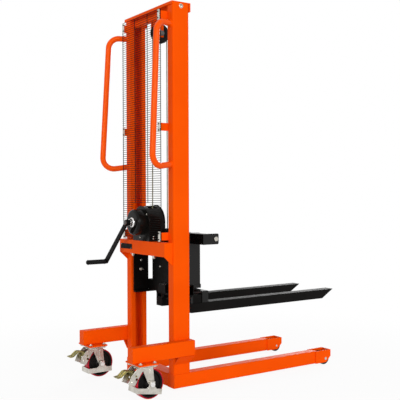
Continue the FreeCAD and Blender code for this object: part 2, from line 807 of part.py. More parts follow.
# Winch crossbeam: a channel behind the masts, closed by two side gussets
body = block(("-cross_rear", MAST_REAR), (f"-{CROSS_HALF}", CROSS_HALF), ("cross_low", CROSS_TOP))
hollow = block(
    ("-cross_rear + cross_wall", f"{MAST_REAR} + overrun"),
    (f"-{CROSS_HALF} + cross_wall", f"{CROSS_HALF} - cross_wall"),
    ("cross_low + cross_wall", f"{CROSS_TOP} - cross_wall"),
)
channel = cut(body, hollow)
wings = []
for side_name, side in SIDES:
    outline = [
        ("-cross_rear", CROSS_TOP),
        (MAST_REAR, CROSS_TOP),
        (MAST_REAR, "cross_low - cross_gusset_drop"),
        ("-cross_rear", "cross_low"),
    ]
    wings.append(profile("Y", outline, across(side, f"{CROSS_HALF} - cross_wall", CROSS_HALF)))
keep("winch_crossbeam", fuse(channel, *wings))
plate_left = f"({CROSS_HALF} - plate_end_gap)"
plate_top = f"({CROSS_TOP} - plate_top_gap)"
plate = block(
    ("-cross_rear - plate_thick", "-cross_rear"),
    (f"{plate_left} - plate_width", plate_left),
    (f"{plate_top} - plate_height", plate_top),
)
keep("name_plate", plate)

# Winch frame: a foot plate with two arched bearing plates
AXIS = ("0", "winch_axis")
foot = block(("-winch_rear", "-winch_front"), ("-winch_radius", "winch_radius"), (CROSS_TOP, WINCH_FLOOR))
rear_span = ("-winch_rear", "-winch_rear + winch_plate")
front_span = ("-winch_front - winch_plate", "-winch_front")
rear_arch = rod("X", "2*winch_radius", rear_span, AXIS)
rear_wall = block(rear_span, ("-winch_radius", "winch_radius"), (CROSS_TOP, "winch_axis"))
rim = "(winch_radius + winch_rim)"
front_arch = rod("X", f"2*{rim}", front_span, AXIS)
front_wall = block(front_span, (f"-{rim}", rim), (CROSS_TOP, "winch_axis"))
through = ("-winch_rear - overrun", "-winch_rear + winch_plate + drum_side_gap/2")
hub_hole = rod("X", "drum_hub_dia + 2*run_clear", through, AXIS)
through = ("-winch_front - winch_plate - drum_side_gap/2", "-winch_front + overrun")
journal_hole = rod("X", "drum_journal_dia + 2*run_clear", through, AXIS)
arches = fuse(foot, rear_arch, rear_wall, front_arch, front_wall)
keep("winch_frame", cut(arches, hub_hole, journal_hole))

# Winch shroud: a folded sheet arch over the drum, slotted for the rope
shroud_span = ("-winch_rear + winch_plate", "-winch_front - winch_plate")
cavity_span = ("-winch_rear", "-winch_front")
outer_arch = rod("X", "2*winch_radius", shroud_span, AXIS)
outer_wall = block(shroud_span, ("-winch_radius", "winch_radius"), (WINCH_FLOOR, "winch_axis"))
inner_half = "(winch_radius - shroud_wall)"
inner_arch = rod("X", f"2*{inner_half}", cavity_span, AXIS)
inner_run = (f"{WINCH_FLOOR} - overrun", "winch_axis")
inner_wall = block(cavity_span, (f"-{inner_half}", inner_half), inner_run)
slot = block(
    (f"{ROPE_EXIT_X} - shroud_slot_long/2", f"{ROPE_EXIT_X} + shroud_slot_long/2"),
    (f"{ROPE_EXIT_Y} - rope_dia", f"{ROPE_EXIT_Y} - rope_dia + shroud_slot_wide"),
    ("winch_axis + winch_radius/2", "winch_axis + winch_radius + overrun"),
)
keep("winch_shroud", cut(fuse(outer_arch, outer_wall), inner_arch, inner_wall, slot))


def gear_outline(teeth, phase, inward=False):
    """The corners of a gear's teeth, four for each tooth, about the middle of the gear."""
    module = value_of("gear_module")
    pitch_radius = module * teeth / 2
    direction = -1 if inward else 1
    tip = pitch_radius + direction * module * TOOTH_TIP_SHARE
    root = pitch_radius - direction * module * TOOTH_ROOT_SHARE
    step = 2 * math.pi / teeth
    corners = []
    for tooth in range(teeth):
        middle = phase + tooth * step
        for radius, width in (
            (root, -TOOTH_ROOT_WIDTH_SHARE),
            (tip, -TOOTH_TIP_WIDTH_SHARE),
            (tip, TOOTH_TIP_WIDTH_SHARE),
            (root, TOOTH_ROOT_WIDTH_SHARE),
        ):
            angle = middle + width * step
            corners.append((radius * math.cos(angle), radius * math.sin(angle)))
    return corners


def gear_blank(teeth, phase, centre, inward=False):
    """A toothed prism across the gears' width, along X."""
    rear = value_of(GEAR_REAR)
    axis = value_of("winch_axis")
    corners = [
        Vector(rear, centre[0] + u, axis + centre[1] + v)
        for u, v in gear_outline(teeth, phase, inward)
    ]
    face = Part.Face(Part.makePolygon(corners + corners[:1]))
    return face.extrude(Vector(value_of("gear_width"), 0, 0))


# Gear cover: a turned cup with the ring gear's teeth inside
cover_radius = "(cover_dia/2)"
cup = turned(
    "X",
    [
        (f"{COVER_REAR}", "shaft_dia/2 + run_clear"),
        (f"{COVER_REAR}", f"{cover_radius} - cover_edge"),
        (f"{COVER_REAR} + cover_edge", cover_radius),
        ("-winch_rear", cover_radius),
        ("-winch_rear", f"{cover_radius} - cover_wall"),
        (f"{COVER_REAR} + cover_edge + cover_wall", f"{cover_radius} - cover_wall"),
        (f"{COVER_REAR} + cover_wall", f"{cover_radius} - cover_wall - cover_edge"),
        (f"{COVER_REAR} + cover_wall", "shaft_dia/2 + run_clear"),
    ],
    ("0", "0", "winch_axis"),
)
ring = rod("X", f"2*{cover_radius} - cover_wall", (GEAR_REAR, GEAR_FRONT), AXIS)
ring_bore = shaped(gear_blank(RING_TEETH, 0, (0, 0), inward=True))
keep("gear_cover", fuse(cup, cut(ring, ring_bore)))

# Drum with its planet carrier, and the rope wound on it
hub_bore = "pilot_dia/2 + run_clear"
bore_end = f"({CARRIER_FRONT} + pilot_length)"
core = "drum_core_dia/2"
drum = turned(
    "X",
    [
        (CARRIER_REAR, hub_bore),
        (CARRIER_REAR, "carrier_dia/2"),
        (CARRIER_FRONT, "carrier_dia/2"),
        (CARRIER_FRONT, "drum_hub_dia/2"),
        (DRUM_REAR, "drum_hub_dia/2"),
        (DRUM_REAR, "drum_flange_dia/2"),
        (f"{DRUM_REAR} + drum_flange", "drum_flange_dia/2"),
        (f"{DRUM_REAR} + drum_flange", core),
        (f"{DRUM_FRONT} - drum_flange", core),
        (f"{DRUM_FRONT} - drum_flange", "drum_flange_dia/2"),
        (DRUM_FRONT, "drum_flange_dia/2"),
        (DRUM_FRONT, "drum_journal_dia/2"),
        ("-winch_front", "drum_journal_dia/2"),
        ("-winch_front", "0"),
        (bore_end, "0"),
        (bore_end, hub_bore),
    ],
    ("0", "0", "winch_axis"),
)
pins = []
for number in range(PLANETS):
    turn = f"{number * 360 / PLANETS}"
    spot = (f"{GEAR_ORBIT}*cos({turn})", f"winch_axis + {GEAR_ORBIT}*sin({turn})")
    pins.append(rod("X", "planet_pin_dia", (GEAR_REAR, CARRIER_FRONT), spot))
keep("winch_drum", fuse(drum, *pins))
winding_span = (f"{DRUM_REAR} + drum_flange", f"{DRUM_FRONT} - drum_flange")
winding = rod("X", WINDING_DIA, winding_span, AXIS)
keep("rope_winding", cut(winding, rod("X", "drum_core_dia", ("-winch_rear", "-winch_front"), AXIS)))

# Planet gears, in mesh with the sun and the ring at rest
for number in range(PLANETS):
    turn = 2 * math.pi * number / PLANETS
    orbit = value_of(GEAR_ORBIT)
    centre = (orbit * math.cos(turn), orbit * math.sin(turn))
    wheel = shaped(gear_blank(PLANET_TEETH, turn + math.pi / PLANET_TEETH, centre))
    spot = (f"{GEAR_ORBIT}*cos({math.degrees(turn)})", f"winch_axis + {GEAR_ORBIT}*sin({math.degrees(turn)})")
    bore_span = (f"{GEAR_REAR} - overrun/2", f"{GEAR_FRONT} + gear_gap/2")
    bore = rod("X", "planet_pin_dia + 2*run_clear", bore_span, spot)
    keep(f"planet_gear_{number + 1}", cut(wheel, bore))

# Crank shaft: the sun gear, a pilot in the drum, a plain journal and a polished boss
sun = shaped(gear_blank(SUN_TEETH, 0, (0, 0)))
pilot = rod("X", "pilot_dia", (GEAR_FRONT, f"{CARRIER_FRONT} + pilot_length - drum_side_gap"), AXIS)
shaft = rod("X", "shaft_dia", (CRANK_REAR, GEAR_REAR), AXIS)
boss = rod("X", "boss_dia", (BOSS_REAR, f"{COVER_REAR} - face_clear"), AXIS)
nut_span = (f"{CRANK_REAR} - crank_nut", CRANK_REAR)
shaft_nut = hexagon("X", "shaft_dia*bolt_head_ratio_share", nut_span, AXIS)
keep("crank_shaft", fuse(sun, pilot, shaft, boss, shaft_nut))

# Crank arm: a flat bar with an eye at each end and a fixed pin for the grip
lean_y = "(crank_width/2*sin(crank_angle))"
lean_z = "(crank_width/2*cos(crank_angle))"
bar = profile(
    "X",
    [
        (lean_y, f"winch_axis + {lean_z}"),
        (f"{PIN_Y} + {lean_y}", f"{PIN_Z} + {lean_z}"),
        (f"{PIN_Y} - {lean_y}", f"{PIN_Z} - {lean_z}"),
        (f"-{lean_y}", f"winch_axis - {lean_z}"),
    ],
    (CRANK_REAR, CRANK_FRONT),
)
eye = rod("X", "crank_eye_dia", (CRANK_REAR, BOSS_REAR), AXIS)
end_eye = rod("X", "crank_width", (CRANK_REAR, CRANK_FRONT), (PIN_Y, PIN_Z))
eye_bore = rod("X", "shaft_dia", (f"{CRANK_REAR} - overrun", f"{BOSS_REAR} + overrun"), AXIS)
grip_pin = rod("X", "grip_pin_dia", (f"{GRIP_REAR} - face_clear", CRANK_REAR), (PIN_Y, PIN_Z))
cap_span = (f"{GRIP_REAR} - face_clear - grip_cap", f"{GRIP_REAR} - face_clear")
pin_cap = rod("X", "(grip_dia + grip_pin_dia)/2", cap_span, (PIN_Y, PIN_Z))
keep("crank_arm", cut(fuse(bar, eye, end_eye, grip_pin, pin_cap), eye_bore))

# Crank grip: a sleeve that turns on the pin
grip = turned(
    "X",
    [
        (GRIP_REAR, "grip_pin_dia/2 + run_clear"),
        (GRIP_REAR, "grip_dia/2 - grip_cap/2"),
        (f"{GRIP_REAR} + grip_cap/2", "grip_dia/2"),
        (f"{GRIP_FRONT} - grip_cap/2", "grip_dia/2"),
        (GRIP_FRONT, "grip_dia/2 - grip_cap/2"),
        (GRIP_FRONT, "grip_pin_dia/2 + run_clear"),
    ],
    ("0", PIN_Y, PIN_Z),
)
keep("crank_grip", grip)

# Mesh guard: welded wires, drawn as one sheet with a gap between each pair of wires
wire = value_of("guard_wire")
half = value_of(f"{MAST_IN} + guard_lap")
low = value_of("guard_low")
high = value_of("guard_high")
notch_half = value_of("guard_notch_half")
notch_high = value_of("guard_notch_high")
guard_rear = value_of("-guard_plane - guard_wire/2")
rows = round((high - low - wire) / value_of("guard_pitch"))
row_step = (high - low - wire) / rows
notch_rows = math.ceil((notch_high - low - wire) / row_step)
notch_high = low + notch_rows * row_step


def sheet_wire(corners):
    """A closed wire in the guard's plane."""
    points = [Vector(guard_rear, y, z) for y, z in corners]
    return Part.makePolygon(points + points[:1])


def rectangle(left, right, bottom, top):
    """The corners of a rectangle in the guard's plane."""
    return [(left, bottom), (right, bottom), (right, top), (left, top)]


outer = [
    (-half, low),
    (-notch_half, low),
    (-notch_half, notch_high),
    (notch_half, notch_high),
    (notch_half, low),
    (half, low),
    (half, high),
    (-half, high),
]
gap_wires = []
column_step = (2 * half - wire) / GUARD_COLUMNS
for row in range(rows):
    bottom = low + wire + row * row_step
    top = bottom + row_step - wire
    if row < notch_rows:
        gap_wires.append(sheet_wire(rectangle(-half + wire, -notch_half - wire, bottom, top)))
        gap_wires.append(sheet_wire(rectangle(notch_half + wire, half - wire, bottom, top)))
        continue
    for column in range(GUARD_COLUMNS):
        left = -half + wire + column * column_step
        gap_wires.append(sheet_wire(rectangle(left, left + column_step - wire, bottom, top)))
net = Part.makeFace([sheet_wire(outer)] + gap_wires, "Part::FaceMakerBullseye")
keep("mesh_guard", shaped(net.extrude(Vector(wire, 0, 0))))

# Guard fixings: flat brackets on the masts, and folded clips that hold the edge wires
GUARD_FRONT = "(-guard_plane + guard_wire/2)"
BRACKET_REAR = f"({GUARD_FRONT} + clip_plate)"
brackets = []
clips = []
for side_name, side in SIDES:
    for level in ("clip_low", "clip_middle", "clip_high"):
        bracket = block(
            (BRACKET_REAR, MAST_REAR),
            across(side, MAST_IN, f"{MAST_IN} + bracket_plate"),
            (f"{level} - bracket_height/2", f"{level} + bracket_height/2"),
        )
        brackets.append(bracket)
        clip_in = f"({MAST_IN} + bracket_plate - clip_width)"
        clip_out = f"({MAST_IN} + bracket_plate + clip_plate + guard_wire)"
        clip_rise = (f"{level} - clip_height/2", f"{level} + clip_height/2")
        fold = block((GUARD_FRONT, BRACKET_REAR), across(side, clip_in, clip_out), clip_rise)
        back_span = (f"-guard_plane - guard_wire/2 - clip_plate", "-guard_plane - guard_wire/2")
        back = block(back_span, across(side, clip_in, clip_out), clip_rise)
        edge_span = across(side, f"{clip_out} - clip_plate", clip_out)
        edge = block((back_span[0], BRACKET_REAR), edge_span, clip_rise)
        clips.append(fuse(fold, back, edge))
keep("guard_brackets", group(*brackets))
keep("guard_clips", group(*clips))

# Handles: bent tubes in planes that splay outwards from the masts' rear faces
for side_name, side in SIDES:
    splay = math.radians(value_of("handle_splay"))
    away = Vector(-math.cos(splay), side * math.sin(splay), 0)
    root = Vector(value_of(MAST_REAR), side * value_of(f"{MAST_IN} + handle_root_inset"), 0)
    inset = -value_of("handle_dia") / 2
    stations = [
        (inset, value_of("handle_high")),
        (value_of("handle_high_reach"), value_of("handle_high")),
        (value_of("handle_low_reach"), value_of("handle_low")),
        (inset, value_of("handle_low_root")),
    ]
    corners = [root + away * reach + Vector(0, 0, height) for reach, height in stations]
    bends = [value_of("handle_bend")] * 2
    edges = rounded_path(corners, bends)
    tube = swept_round(edges, value_of("handle_dia"))
    bore = swept_round(edges, value_of("handle_dia - 2*handle_wall"))
    trim = block(
        (MAST_REAR, f"{MAST_REAR} + handle_dia + overrun"),
        across(side, MAST_IN, f"{MAST_OUT} + overrun"),
        ("handle_low - handle_dia", "handle_high + handle_dia"),
    )
    keep(f"handle_{side_name}", cut(shaped(tube), shaped(bore), trim))

# Caster top plates with the fixed half of the swivel race
tops = []
for side_name, side in SIDES:
    middle = f"caster_y*{side}"
    plate = block(
        ("-caster_x - caster_plate_length/2", "-caster_x + caster_plate_length/2"),
        (f"{middle} - caster_plate_width/2", f"{middle} + caster_plate_width/2"),
        (CASTER_PLATE_LOW, MOUNT_LOW),
    )
    race = rod("Z", "race_dia", (RACE_LOW, CASTER_PLATE_LOW), ("-caster_x", middle))
    run = (f"{RACE_LOW} - overrun", f"{MOUNT_LOW} + overrun")
    holes = [rod("Z", "king_dia + 2*run_clear", run, ("-caster_x", middle))]
    for along in ("-caster_bolt_x/2", "caster_bolt_x/2"):
        for over in ("-caster_bolt_y/2", "caster_bolt_y/2"):
            spot = (f"-caster_x + {along}", f"{middle} + {over}")
            holes.append(rod("Z", "caster_bolt_dia + 2*run_clear", run, spot))
    tops.append(cut(fuse(plate, race), *holes))
keep("caster_top_plates", group(*tops))

# Caster bolts: a hexagon head below and a nut above each hole
bolts = []
for side_name, side in SIDES:
    for along in ("-caster_bolt_x/2", "caster_bolt_x/2"):
        for over in ("-caster_bolt_y/2", "caster_bolt_y/2"):
            spot = (f"-caster_x + {along}", f"caster_y*{side} + {over}")
            stem_run = (f"{CASTER_PLATE_LOW} - bolt_head", "outrigger_floor_gap + bolt_head + caster_plate")
            stem = rod("Z", "caster_bolt_dia", stem_run, spot)
            flats = "caster_bolt_dia*bolt_head_ratio_share"
            head = hexagon("Z", flats, (f"{CASTER_PLATE_LOW} - bolt_head", CASTER_PLATE_LOW), spot)
            nut_run = ("outrigger_floor_gap", "outrigger_floor_gap + bolt_head")
            nut = hexagon("Z", flats, nut_run, spot)
            bolts.append(fuse(stem, head, nut))
keep("caster_bolts", group(*bolts))

# Caster forks: a crown with a kingpin, two tapering legs and an ear behind each leg
FORK_OUT = "(fork_gap + fork_plate)"
for side_name, side in SIDES:
    middle = f"caster_y*{side}"
    crown = rod("Z", "crown_dia", (CROWN_LOW, CROWN_TOP), ("-caster_x", middle))
    king = rod("Z", "king_dia", (CROWN_LOW, MOUNT_LOW), ("-caster_x", middle))
    pieces = [crown, king]
    for plate_side in (1, -1):
        low, high = across(plate_side, "fork_gap", FORK_OUT)
        span = (f"{middle} + {low}", f"{middle} + {high}")
        leg = [
            ("-caster_x - crown_dia/4", CROWN_TOP),
            ("-caster_x + crown_dia/2", CROWN_TOP),
            (f"{WHEEL_X} + fork_foot/2", WHEEL_Z),
            (f"{WHEEL_X} + fork_foot/4", f"{WHEEL_Z} - fork_foot/2"),
            (f"{WHEEL_X} - fork_foot/4", f"{WHEEL_Z} - fork_foot/2"),
            (f"{WHEEL_X} - fork_foot/2", WHEEL_Z),
            ("-caster_x - fork_neck", "fork_neck_high"),
        ]
        ear = [
            ("-caster_x", CROWN_TOP),
            ("-caster_x - crown_dia/2", CROWN_TOP),
            (f"{BRAKE_X} - ear_reach", "ear_high"),
            (f"{BRAKE_X} - ear_toe", "ear_toe_high"),
            (f"{BRAKE_X} - ear_heel", "ear_low"),
            (f"{BRAKE_X} + ear_front", "ear_front_high"),
        ]
        pieces.append(profile("Y", leg, span))
        pieces.append(profile("Y", ear, span))
    reach = (f"{middle} - {FORK_OUT} - overrun", f"{middle} + {FORK_OUT} + overrun")
    axle_hole = rod("Y", "wheel_axle_dia + 2*run_clear", reach, (WHEEL_X, WHEEL_Z))
    pin_hole = rod("Y", "brake_pin_dia + 2*run_clear", reach, (BRAKE_X, "brake_z"))
    keep(f"caster_fork_{side_name}", cut(fuse(*pieces), axle_hole, pin_hole))

# Caster axles: a bolt with a head, a nut and a spacer each side
for side_name, side in SIDES:
    middle = f"caster_y*{side}"
    spot = (WHEEL_X, WHEEL_Z)
    end = "(guard_rail_gap + guard_rail_plate + bolt_head)"
    spacer = "wheel_axle_dia*bolt_head_ratio_share"
    pieces = [rod("Y", "wheel_axle_dia", (f"{middle} - {end}", f"{middle} + {end}"), spot)]
    for end_side in (1, -1):
        low, high = across(end_side, "guard_rail_gap + guard_rail_plate", end)
        pieces.append(hexagon("Y", "wheel_nut_flats", (f"{middle} + {low}", f"{middle} + {high}"), spot))
        low, high = across(end_side, FORK_OUT, "guard_rail_gap")
        pieces.append(rod("Y", spacer, (f"{middle} + {low}", f"{middle} + {high}"), spot))
    keep(f"caster_axle_{side_name}", fuse(*pieces))

# Foot guards: low rails beside each wheel, joined behind it and hung on the axle. The right
# one has settled with its front end down
RAIL_REAR = "(-caster_trail - guard_rail_rear)"
RAIL_FRONT = "(-caster_trail + guard_rail_front)"


def hung(tilt, along, height):
    """A corner of a foot guard, turned about the wheel's axle."""
    rise = f"({height} - {WHEEL_Z})"
    x = f"{WHEEL_X} + ({along})*cos({tilt}) + {rise}*sin({tilt})"
    z = f"{WHEEL_Z} - ({along})*sin({tilt}) + {rise}*cos({tilt})"
    return x, z


for side_name, side in SIDES:
    middle = f"caster_y*{side}"
    tilt = "guard_rail_tilt" if side < 0 else "0"
    rail = [
        (RAIL_REAR, "guard_rail_low"),
        (RAIL_FRONT, "guard_rail_low"),
        (RAIL_FRONT, "guard_rail_high"),
        ("guard_stem_foot/2", "guard_rail_high"),
        ("guard_stem_top/2", "guard_stem_neck"),
        ("guard_stem_top/2 - guard_rail_plate", "guard_stem_high"),
        ("-guard_stem_top/2 + guard_rail_plate", "guard_stem_high"),
        ("-guard_stem_top/2", "guard_stem_neck"),
        ("-guard_stem_foot/2", "guard_rail_high"),
        (RAIL_REAR, "guard_rail_high"),
    ]
    joining = [
        (RAIL_REAR, "guard_rail_low"),
        (f"{RAIL_REAR} + guard_rail_plate", "guard_rail_low"),
        (f"{RAIL_REAR} + guard_rail_plate", "guard_rail_high"),
        (RAIL_REAR, "guard_rail_high"),
    ]
    pieces = []
    for rail_side in (1, -1):
        low, high = across(rail_side, "guard_rail_gap", "guard_rail_gap + guard_rail_plate")
        outline = [hung(tilt, *corner) for corner in rail]
        pieces.append(profile("Y", outline, (f"{middle} + {low}", f"{middle} + {high}")))
    rail_half = "(guard_rail_gap + guard_rail_plate)"
    outline = [hung(tilt, *corner) for corner in joining]
    pieces.append(profile("Y", outline, (f"{middle} - {rail_half}", f"{middle} + {rail_half}")))
    reach = (f"{middle} - {rail_half} - overrun", f"{middle} + {rail_half} + overrun")
    hole = rod("Y", "wheel_axle_dia + 2*run_clear", reach, (WHEEL_X, WHEEL_Z))
    keep(f"foot_guard_{side_name}", cut(fuse(*pieces), hole))

# Caster wheels: a moulded core with a hub and a web, and a bonded tread
for side_name, side in SIDES:
    half = "wheel_width/2"
    hub_half = "(fork_gap - face_clear)"
    bore = "wheel_axle_dia/2 + run_clear"
    web = "wheel_web/2"
    rim = "wheel_dia/2 - tread_thick"
    right_half = [
        (hub_half, bore),
        (hub_half, "wheel_hub_dia/2 - tread_thick/2"),
        (web, "wheel_hub_dia/2"),
        (web, f"{rim} - tread_thick"),
        (f"{half} - tread_thick/4", f"{rim} - tread_thick/2"),
        (half, rim),
        (f"{half} - tread_thick/4", f"{rim} + tread_thick/2"),
        (f"{half} - tread_thick", "wheel_dia/2"),
    ]
    left_half = [(f"-({place_along})", radius) for place_along, radius in reversed(right_half)]
    spot = (WHEEL_X, f"caster_y*{side}", WHEEL_Z)
    keep(f"caster_wheel_{side_name}", turned("Y", right_half + left_half, spot))

# Brake pedals: a cranked plate on a pin, with a shoe that faces the wheel
PEDAL_LENGTH = f"({BRAKE_X} + pedal_reach)"
for side_name, side in SIDES:
    middle = f"caster_y*{side}"
    top = [
        (f"{BRAKE_X} - {PEDAL_LENGTH}*{along}", f"brake_z + pedal_rise*{rise}")
        for along, rise in PEDAL_TOP_SHARES
    ]
    bottom = [(along, f"{height} - pedal_plate") for along, height in reversed(top)]
    half = "pedal_width/2"
    lever = profile("Y", top + bottom, (f"{middle} - {half}", f"{middle} + {half}"))
    shoe_top = f"{top[0][1]} - pedal_plate/2"
    shoe_outline = [
        (f"{BRAKE_X} - brake_pin_dia", shoe_top),
        (f"{BRAKE_X} + brake_pin_dia", shoe_top),
        (f"{BRAKE_X} + shoe_reach", "brake_z - brake_pin_dia"),
        (f"{BRAKE_X} + shoe_reach", "shoe_low"),
        (f"{BRAKE_X} + shoe_reach - shoe_plate", "shoe_low"),
        (f"{BRAKE_X} - brake_pin_dia", "brake_z - brake_pin_dia"),
    ]
    shoe = profile("Y", shoe_outline, (f"{middle} - shoe_width/2", f"{middle} + shoe_width/2"))
    pin_half = f"({FORK_OUT} + brake_pin_head)"
    pin_span = (f"{middle} - {pin_half}", f"{middle} + {pin_half}")
    pin = rod("Y", "brake_pin_dia", pin_span, (BRAKE_X, "brake_z"))
    keep(f"brake_pedal_{side_name}", fuse(lever, shoe, pin))

# Carriage side plates, each with a foot under the rear bar and two fixed pins for the rail
# rollers
pins = []
for side_name, side in SIDES:
    plate = block(("-side_rear", "side_front"), across(side, SIDE_IN, SIDE_OUT), ("side_low", "side_high"))
    foot = block(
        ("-side_rear", "fork_rear"),
        across(side, f"{SIDE_IN} - side_foot_in", SIDE_OUT),
        ("side_low", "rear_bar_low"),
    )
    holes = []
    for level_name, level in (("lower", "roller_low"), ("upper", "roller_high")):
        reach = across(side, f"{SIDE_IN} - overrun", f"{SIDE_OUT} + overrun")
        holes.append(rod("Y", "rail_axle_dia + 2*run_clear", reach, ("0", level)))
        stem_span = across(side, f"{SIDE_IN} - rail_axle_head", ROLLER_OUT)
        stem = rod("Y", "rail_axle_dia", stem_span, ("0", level))
        collar_span = across(side, SIDE_OUT, f"{ROLLER_IN} - face_clear")
        collar = rod("Y", "rail_axle_head_dia", collar_span, ("0", level))
        nut_span = across(side, f"{SIDE_IN} - rail_axle_head", SIDE_IN)
        nut = hexagon("Y", "rail_axle_head_dia", nut_span, ("0", level))
        pins.append(fuse(stem, collar, nut))
    keep(f"carriage_plate_{side_name}", cut(fuse(plate, foot), *holes))
keep("rail_roller_pins", group(*pins))

# Rail rollers: they run between the flanges of the masts
for side_name, side in SIDES:
    for level_name, level in (("lower", "roller_low"), ("upper", "roller_high")):
        half = "rail_roller_width/2"
        bore = "rail_axle_dia/2 + run_clear"
        outline = [
            (f"-({half})", bore),
            (half, bore),
            (half, "rail_roller_dia/2 - rail_roller_edge"),
            (f"{half} - rail_roller_edge", "rail_roller_dia/2"),
            (f"-({half} - rail_roller_edge)", "rail_roller_dia/2"),
            (f"-({half})", "rail_roller_dia/2 - rail_roller_edge"),
        ]
        middle = f"({ROLLER_IN} + rail_roller_width/2)*{side}"
        keep(f"rail_roller_{level_name}_{side_name}", turned("Y", outline, ("0", middle, level)))

# Carriage rear bar: a box tube between the side plates, over the fork heels
bar_span = ("side_front", "side_front + rear_bar_depth")
bar = block(bar_span, (f"-{SIDE_OUT}", SIDE_OUT), ("rear_bar_low", "rear_bar_high"))
hollow = block(
    ("side_front + bar_wall", "side_front + rear_bar_depth - bar_wall"),
    (f"-{SIDE_OUT} - overrun", f"{SIDE_OUT} + overrun"),
    ("rear_bar_low + bar_wall", "rear_bar_high - bar_wall"),
)
keep("carriage_rear_bar", cut(rounded(bar, "tube_corner", "Y"), hollow))

# Carriage front frame: lower bar, two posts, upper bar with its arms, fork heels, and two
# deep webs that join it to the rear bar and the rope plate
REAR_BAR_FRONT = "(side_front + rear_bar_depth)"
low_bar = block(("front_bar_x", FRONT_BAR_FRONT), ("-fork_outer", "fork_outer"), (FORK_SEAT, LOW_BAR_TOP))
high_span = (f"-{HIGH_BAR_HALF}", HIGH_BAR_HALF)
high_bar = block(("front_bar_x", FRONT_BAR_FRONT), high_span, ("high_bar_low", HIGH_BAR_TOP))
welded = [low_bar, high_bar]
for side_name, side in SIDES:
    arm = block(
        ("front_bar_x", "arm_front"),
        across(side, f"{HIGH_BAR_HALF} - arm_plate", HIGH_BAR_HALF),
        ("high_bar_low", HIGH_BAR_TOP),
    )
    at_tip = lambda point: point.x > value_of(f"{MAST_X} + arm_front") - value_of("arm_corner")
    arm = rounded(arm, "arm_corner", "Y", at_tip)
    outline = [
        ("side_front", "rear_bar_high"),
        (REAR_BAR_FRONT, "rear_bar_high"),
        (REAR_BAR_FRONT, "rear_bar_low"),
        ("front_bar_x", "rear_bar_low"),
        ("front_bar_x", HIGH_BAR_TOP),
        ("side_front", HIGH_BAR_TOP),
    ]
    web = profile("Y", outline, across(side, "post_outer - tie_width", "post_outer"))
    post = block(
        ("front_bar_x", "front_bar_x + post_depth"),
        across(side, "post_inner", "post_outer"),
        (LOW_BAR_TOP, HIGH_BAR_TOP),
    )
    foot = block(
        ("front_bar_x", "front_bar_x + post_depth + post_foot_lap"),
        across(side, "post_inner - post_foot_lap", "post_outer + post_foot_lap"),
        (LOW_BAR_TOP, f"{LOW_BAR_TOP} + post_foot"),
    )
    heel = block(
        ("fork_rear", REAR_BAR_FRONT),
        across(side, FORK_IN, "fork_outer"),
        (FORK_SEAT, "rear_bar_low"),
    )
    welded.extend([arm, web, post, foot, heel])
keep("carriage_frame", fuse(*welded))

# Arm bolts: the eyes where a load backrest is fixed
bolts = []
for side_name, side in SIDES:
    spot = ("arm_front - arm_bolt_back", "(high_bar_low + high_bar_height/2)")
    span = across(side, HIGH_BAR_HALF, f"{HIGH_BAR_HALF} + bolt_head")
    bolts.append(hexagon("Y", "arm_bolt_dia*bolt_head_ratio_share", span, spot))
keep("arm_bolts", group(*bolts))

# Rope anchor: a plate on the rear bar's back, wide at the top where it meets the side plates,
# with a block that holds the rope's end
right_half = [
    ("anchor_foot_half", "side_low"),
    ("anchor_half", "anchor_corner_high"),
    ("anchor_half", "high_bar_low"),
    (SIDE_IN, "high_bar_low"),
    (SIDE_IN, "anchor_high"),
]
left_half = [(f"-{y}", z) for y, z in reversed(right_half)]
plate = profile("X", right_half + left_half, ("side_front - anchor_plate", "side_front"))
socket = block(
    ("side_front - anchor_plate", "side_front + anchor_block"),
    ("-anchor_block_half", "anchor_block_half"),
    ("anchor_high", ANCHOR_TOP),
)
keep("rope_anchor", fuse(plate, socket))

# Forks: folded channels, open below, with a wedge at the tip and a low seat for the frame
for side_name, side in SIDES:
    outline = [
        ("fork_rear", "fork_low"),
        ("fork_tip - fork_tip_length", "fork_low"),
        ("fork_tip", FORK_TOP),
        (f"{FRONT_BAR_FRONT} + fork_seat", FORK_TOP),
        (f"{FRONT_BAR_FRONT} + fork_seat", FORK_SEAT),
        ("fork_rear", FORK_SEAT),
    ]
    bar = profile("Y", outline, across(side, FORK_IN, "fork_outer"))
    hollow = block(
        ("fork_rear + fork_wall", "fork_tip - fork_tip_length - fork_wall"),
        across(side, f"{FORK_IN} + fork_wall", "fork_outer - fork_wall"),
        ("fork_low - overrun", f"{FORK_SEAT} - fork_wall"),
    )
    keep(f"fork_{side_name}", cut(bar, hollow))

doc.recompute()

# Every object has to be sound before anything is written
for item in doc.Objects:
    if "Invalid" in item.State or "Error" in item.State:
        raise RuntimeError(f"{item.Name} ({item.Label}) failed: {item.State}")
for label, piece in nodes.items():
    if piece.Shape.isNull() or not piece.Shape.isValid():
        raise RuntimeError(f"{label} has no valid shape")

os.makedirs("parts", exist_ok=True)
for label, piece in nodes.items():
    piece.Shape.exportStep(os.path.join("parts", f"{label}.step"))
box = FreeCAD.BoundBox()
for piece in nodes.values():
    box.add(piece.Shape.BoundBox)
print(f"{len(nodes)} nodes in a box of {box.XLength:.1f} x {box.YLength:.1f} x {box.ZLength:.1f} mm")
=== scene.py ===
"""Looks of the hand pallet stacker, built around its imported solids."""

import json
import math

import bpy
from mathutils import Matrix, Vector

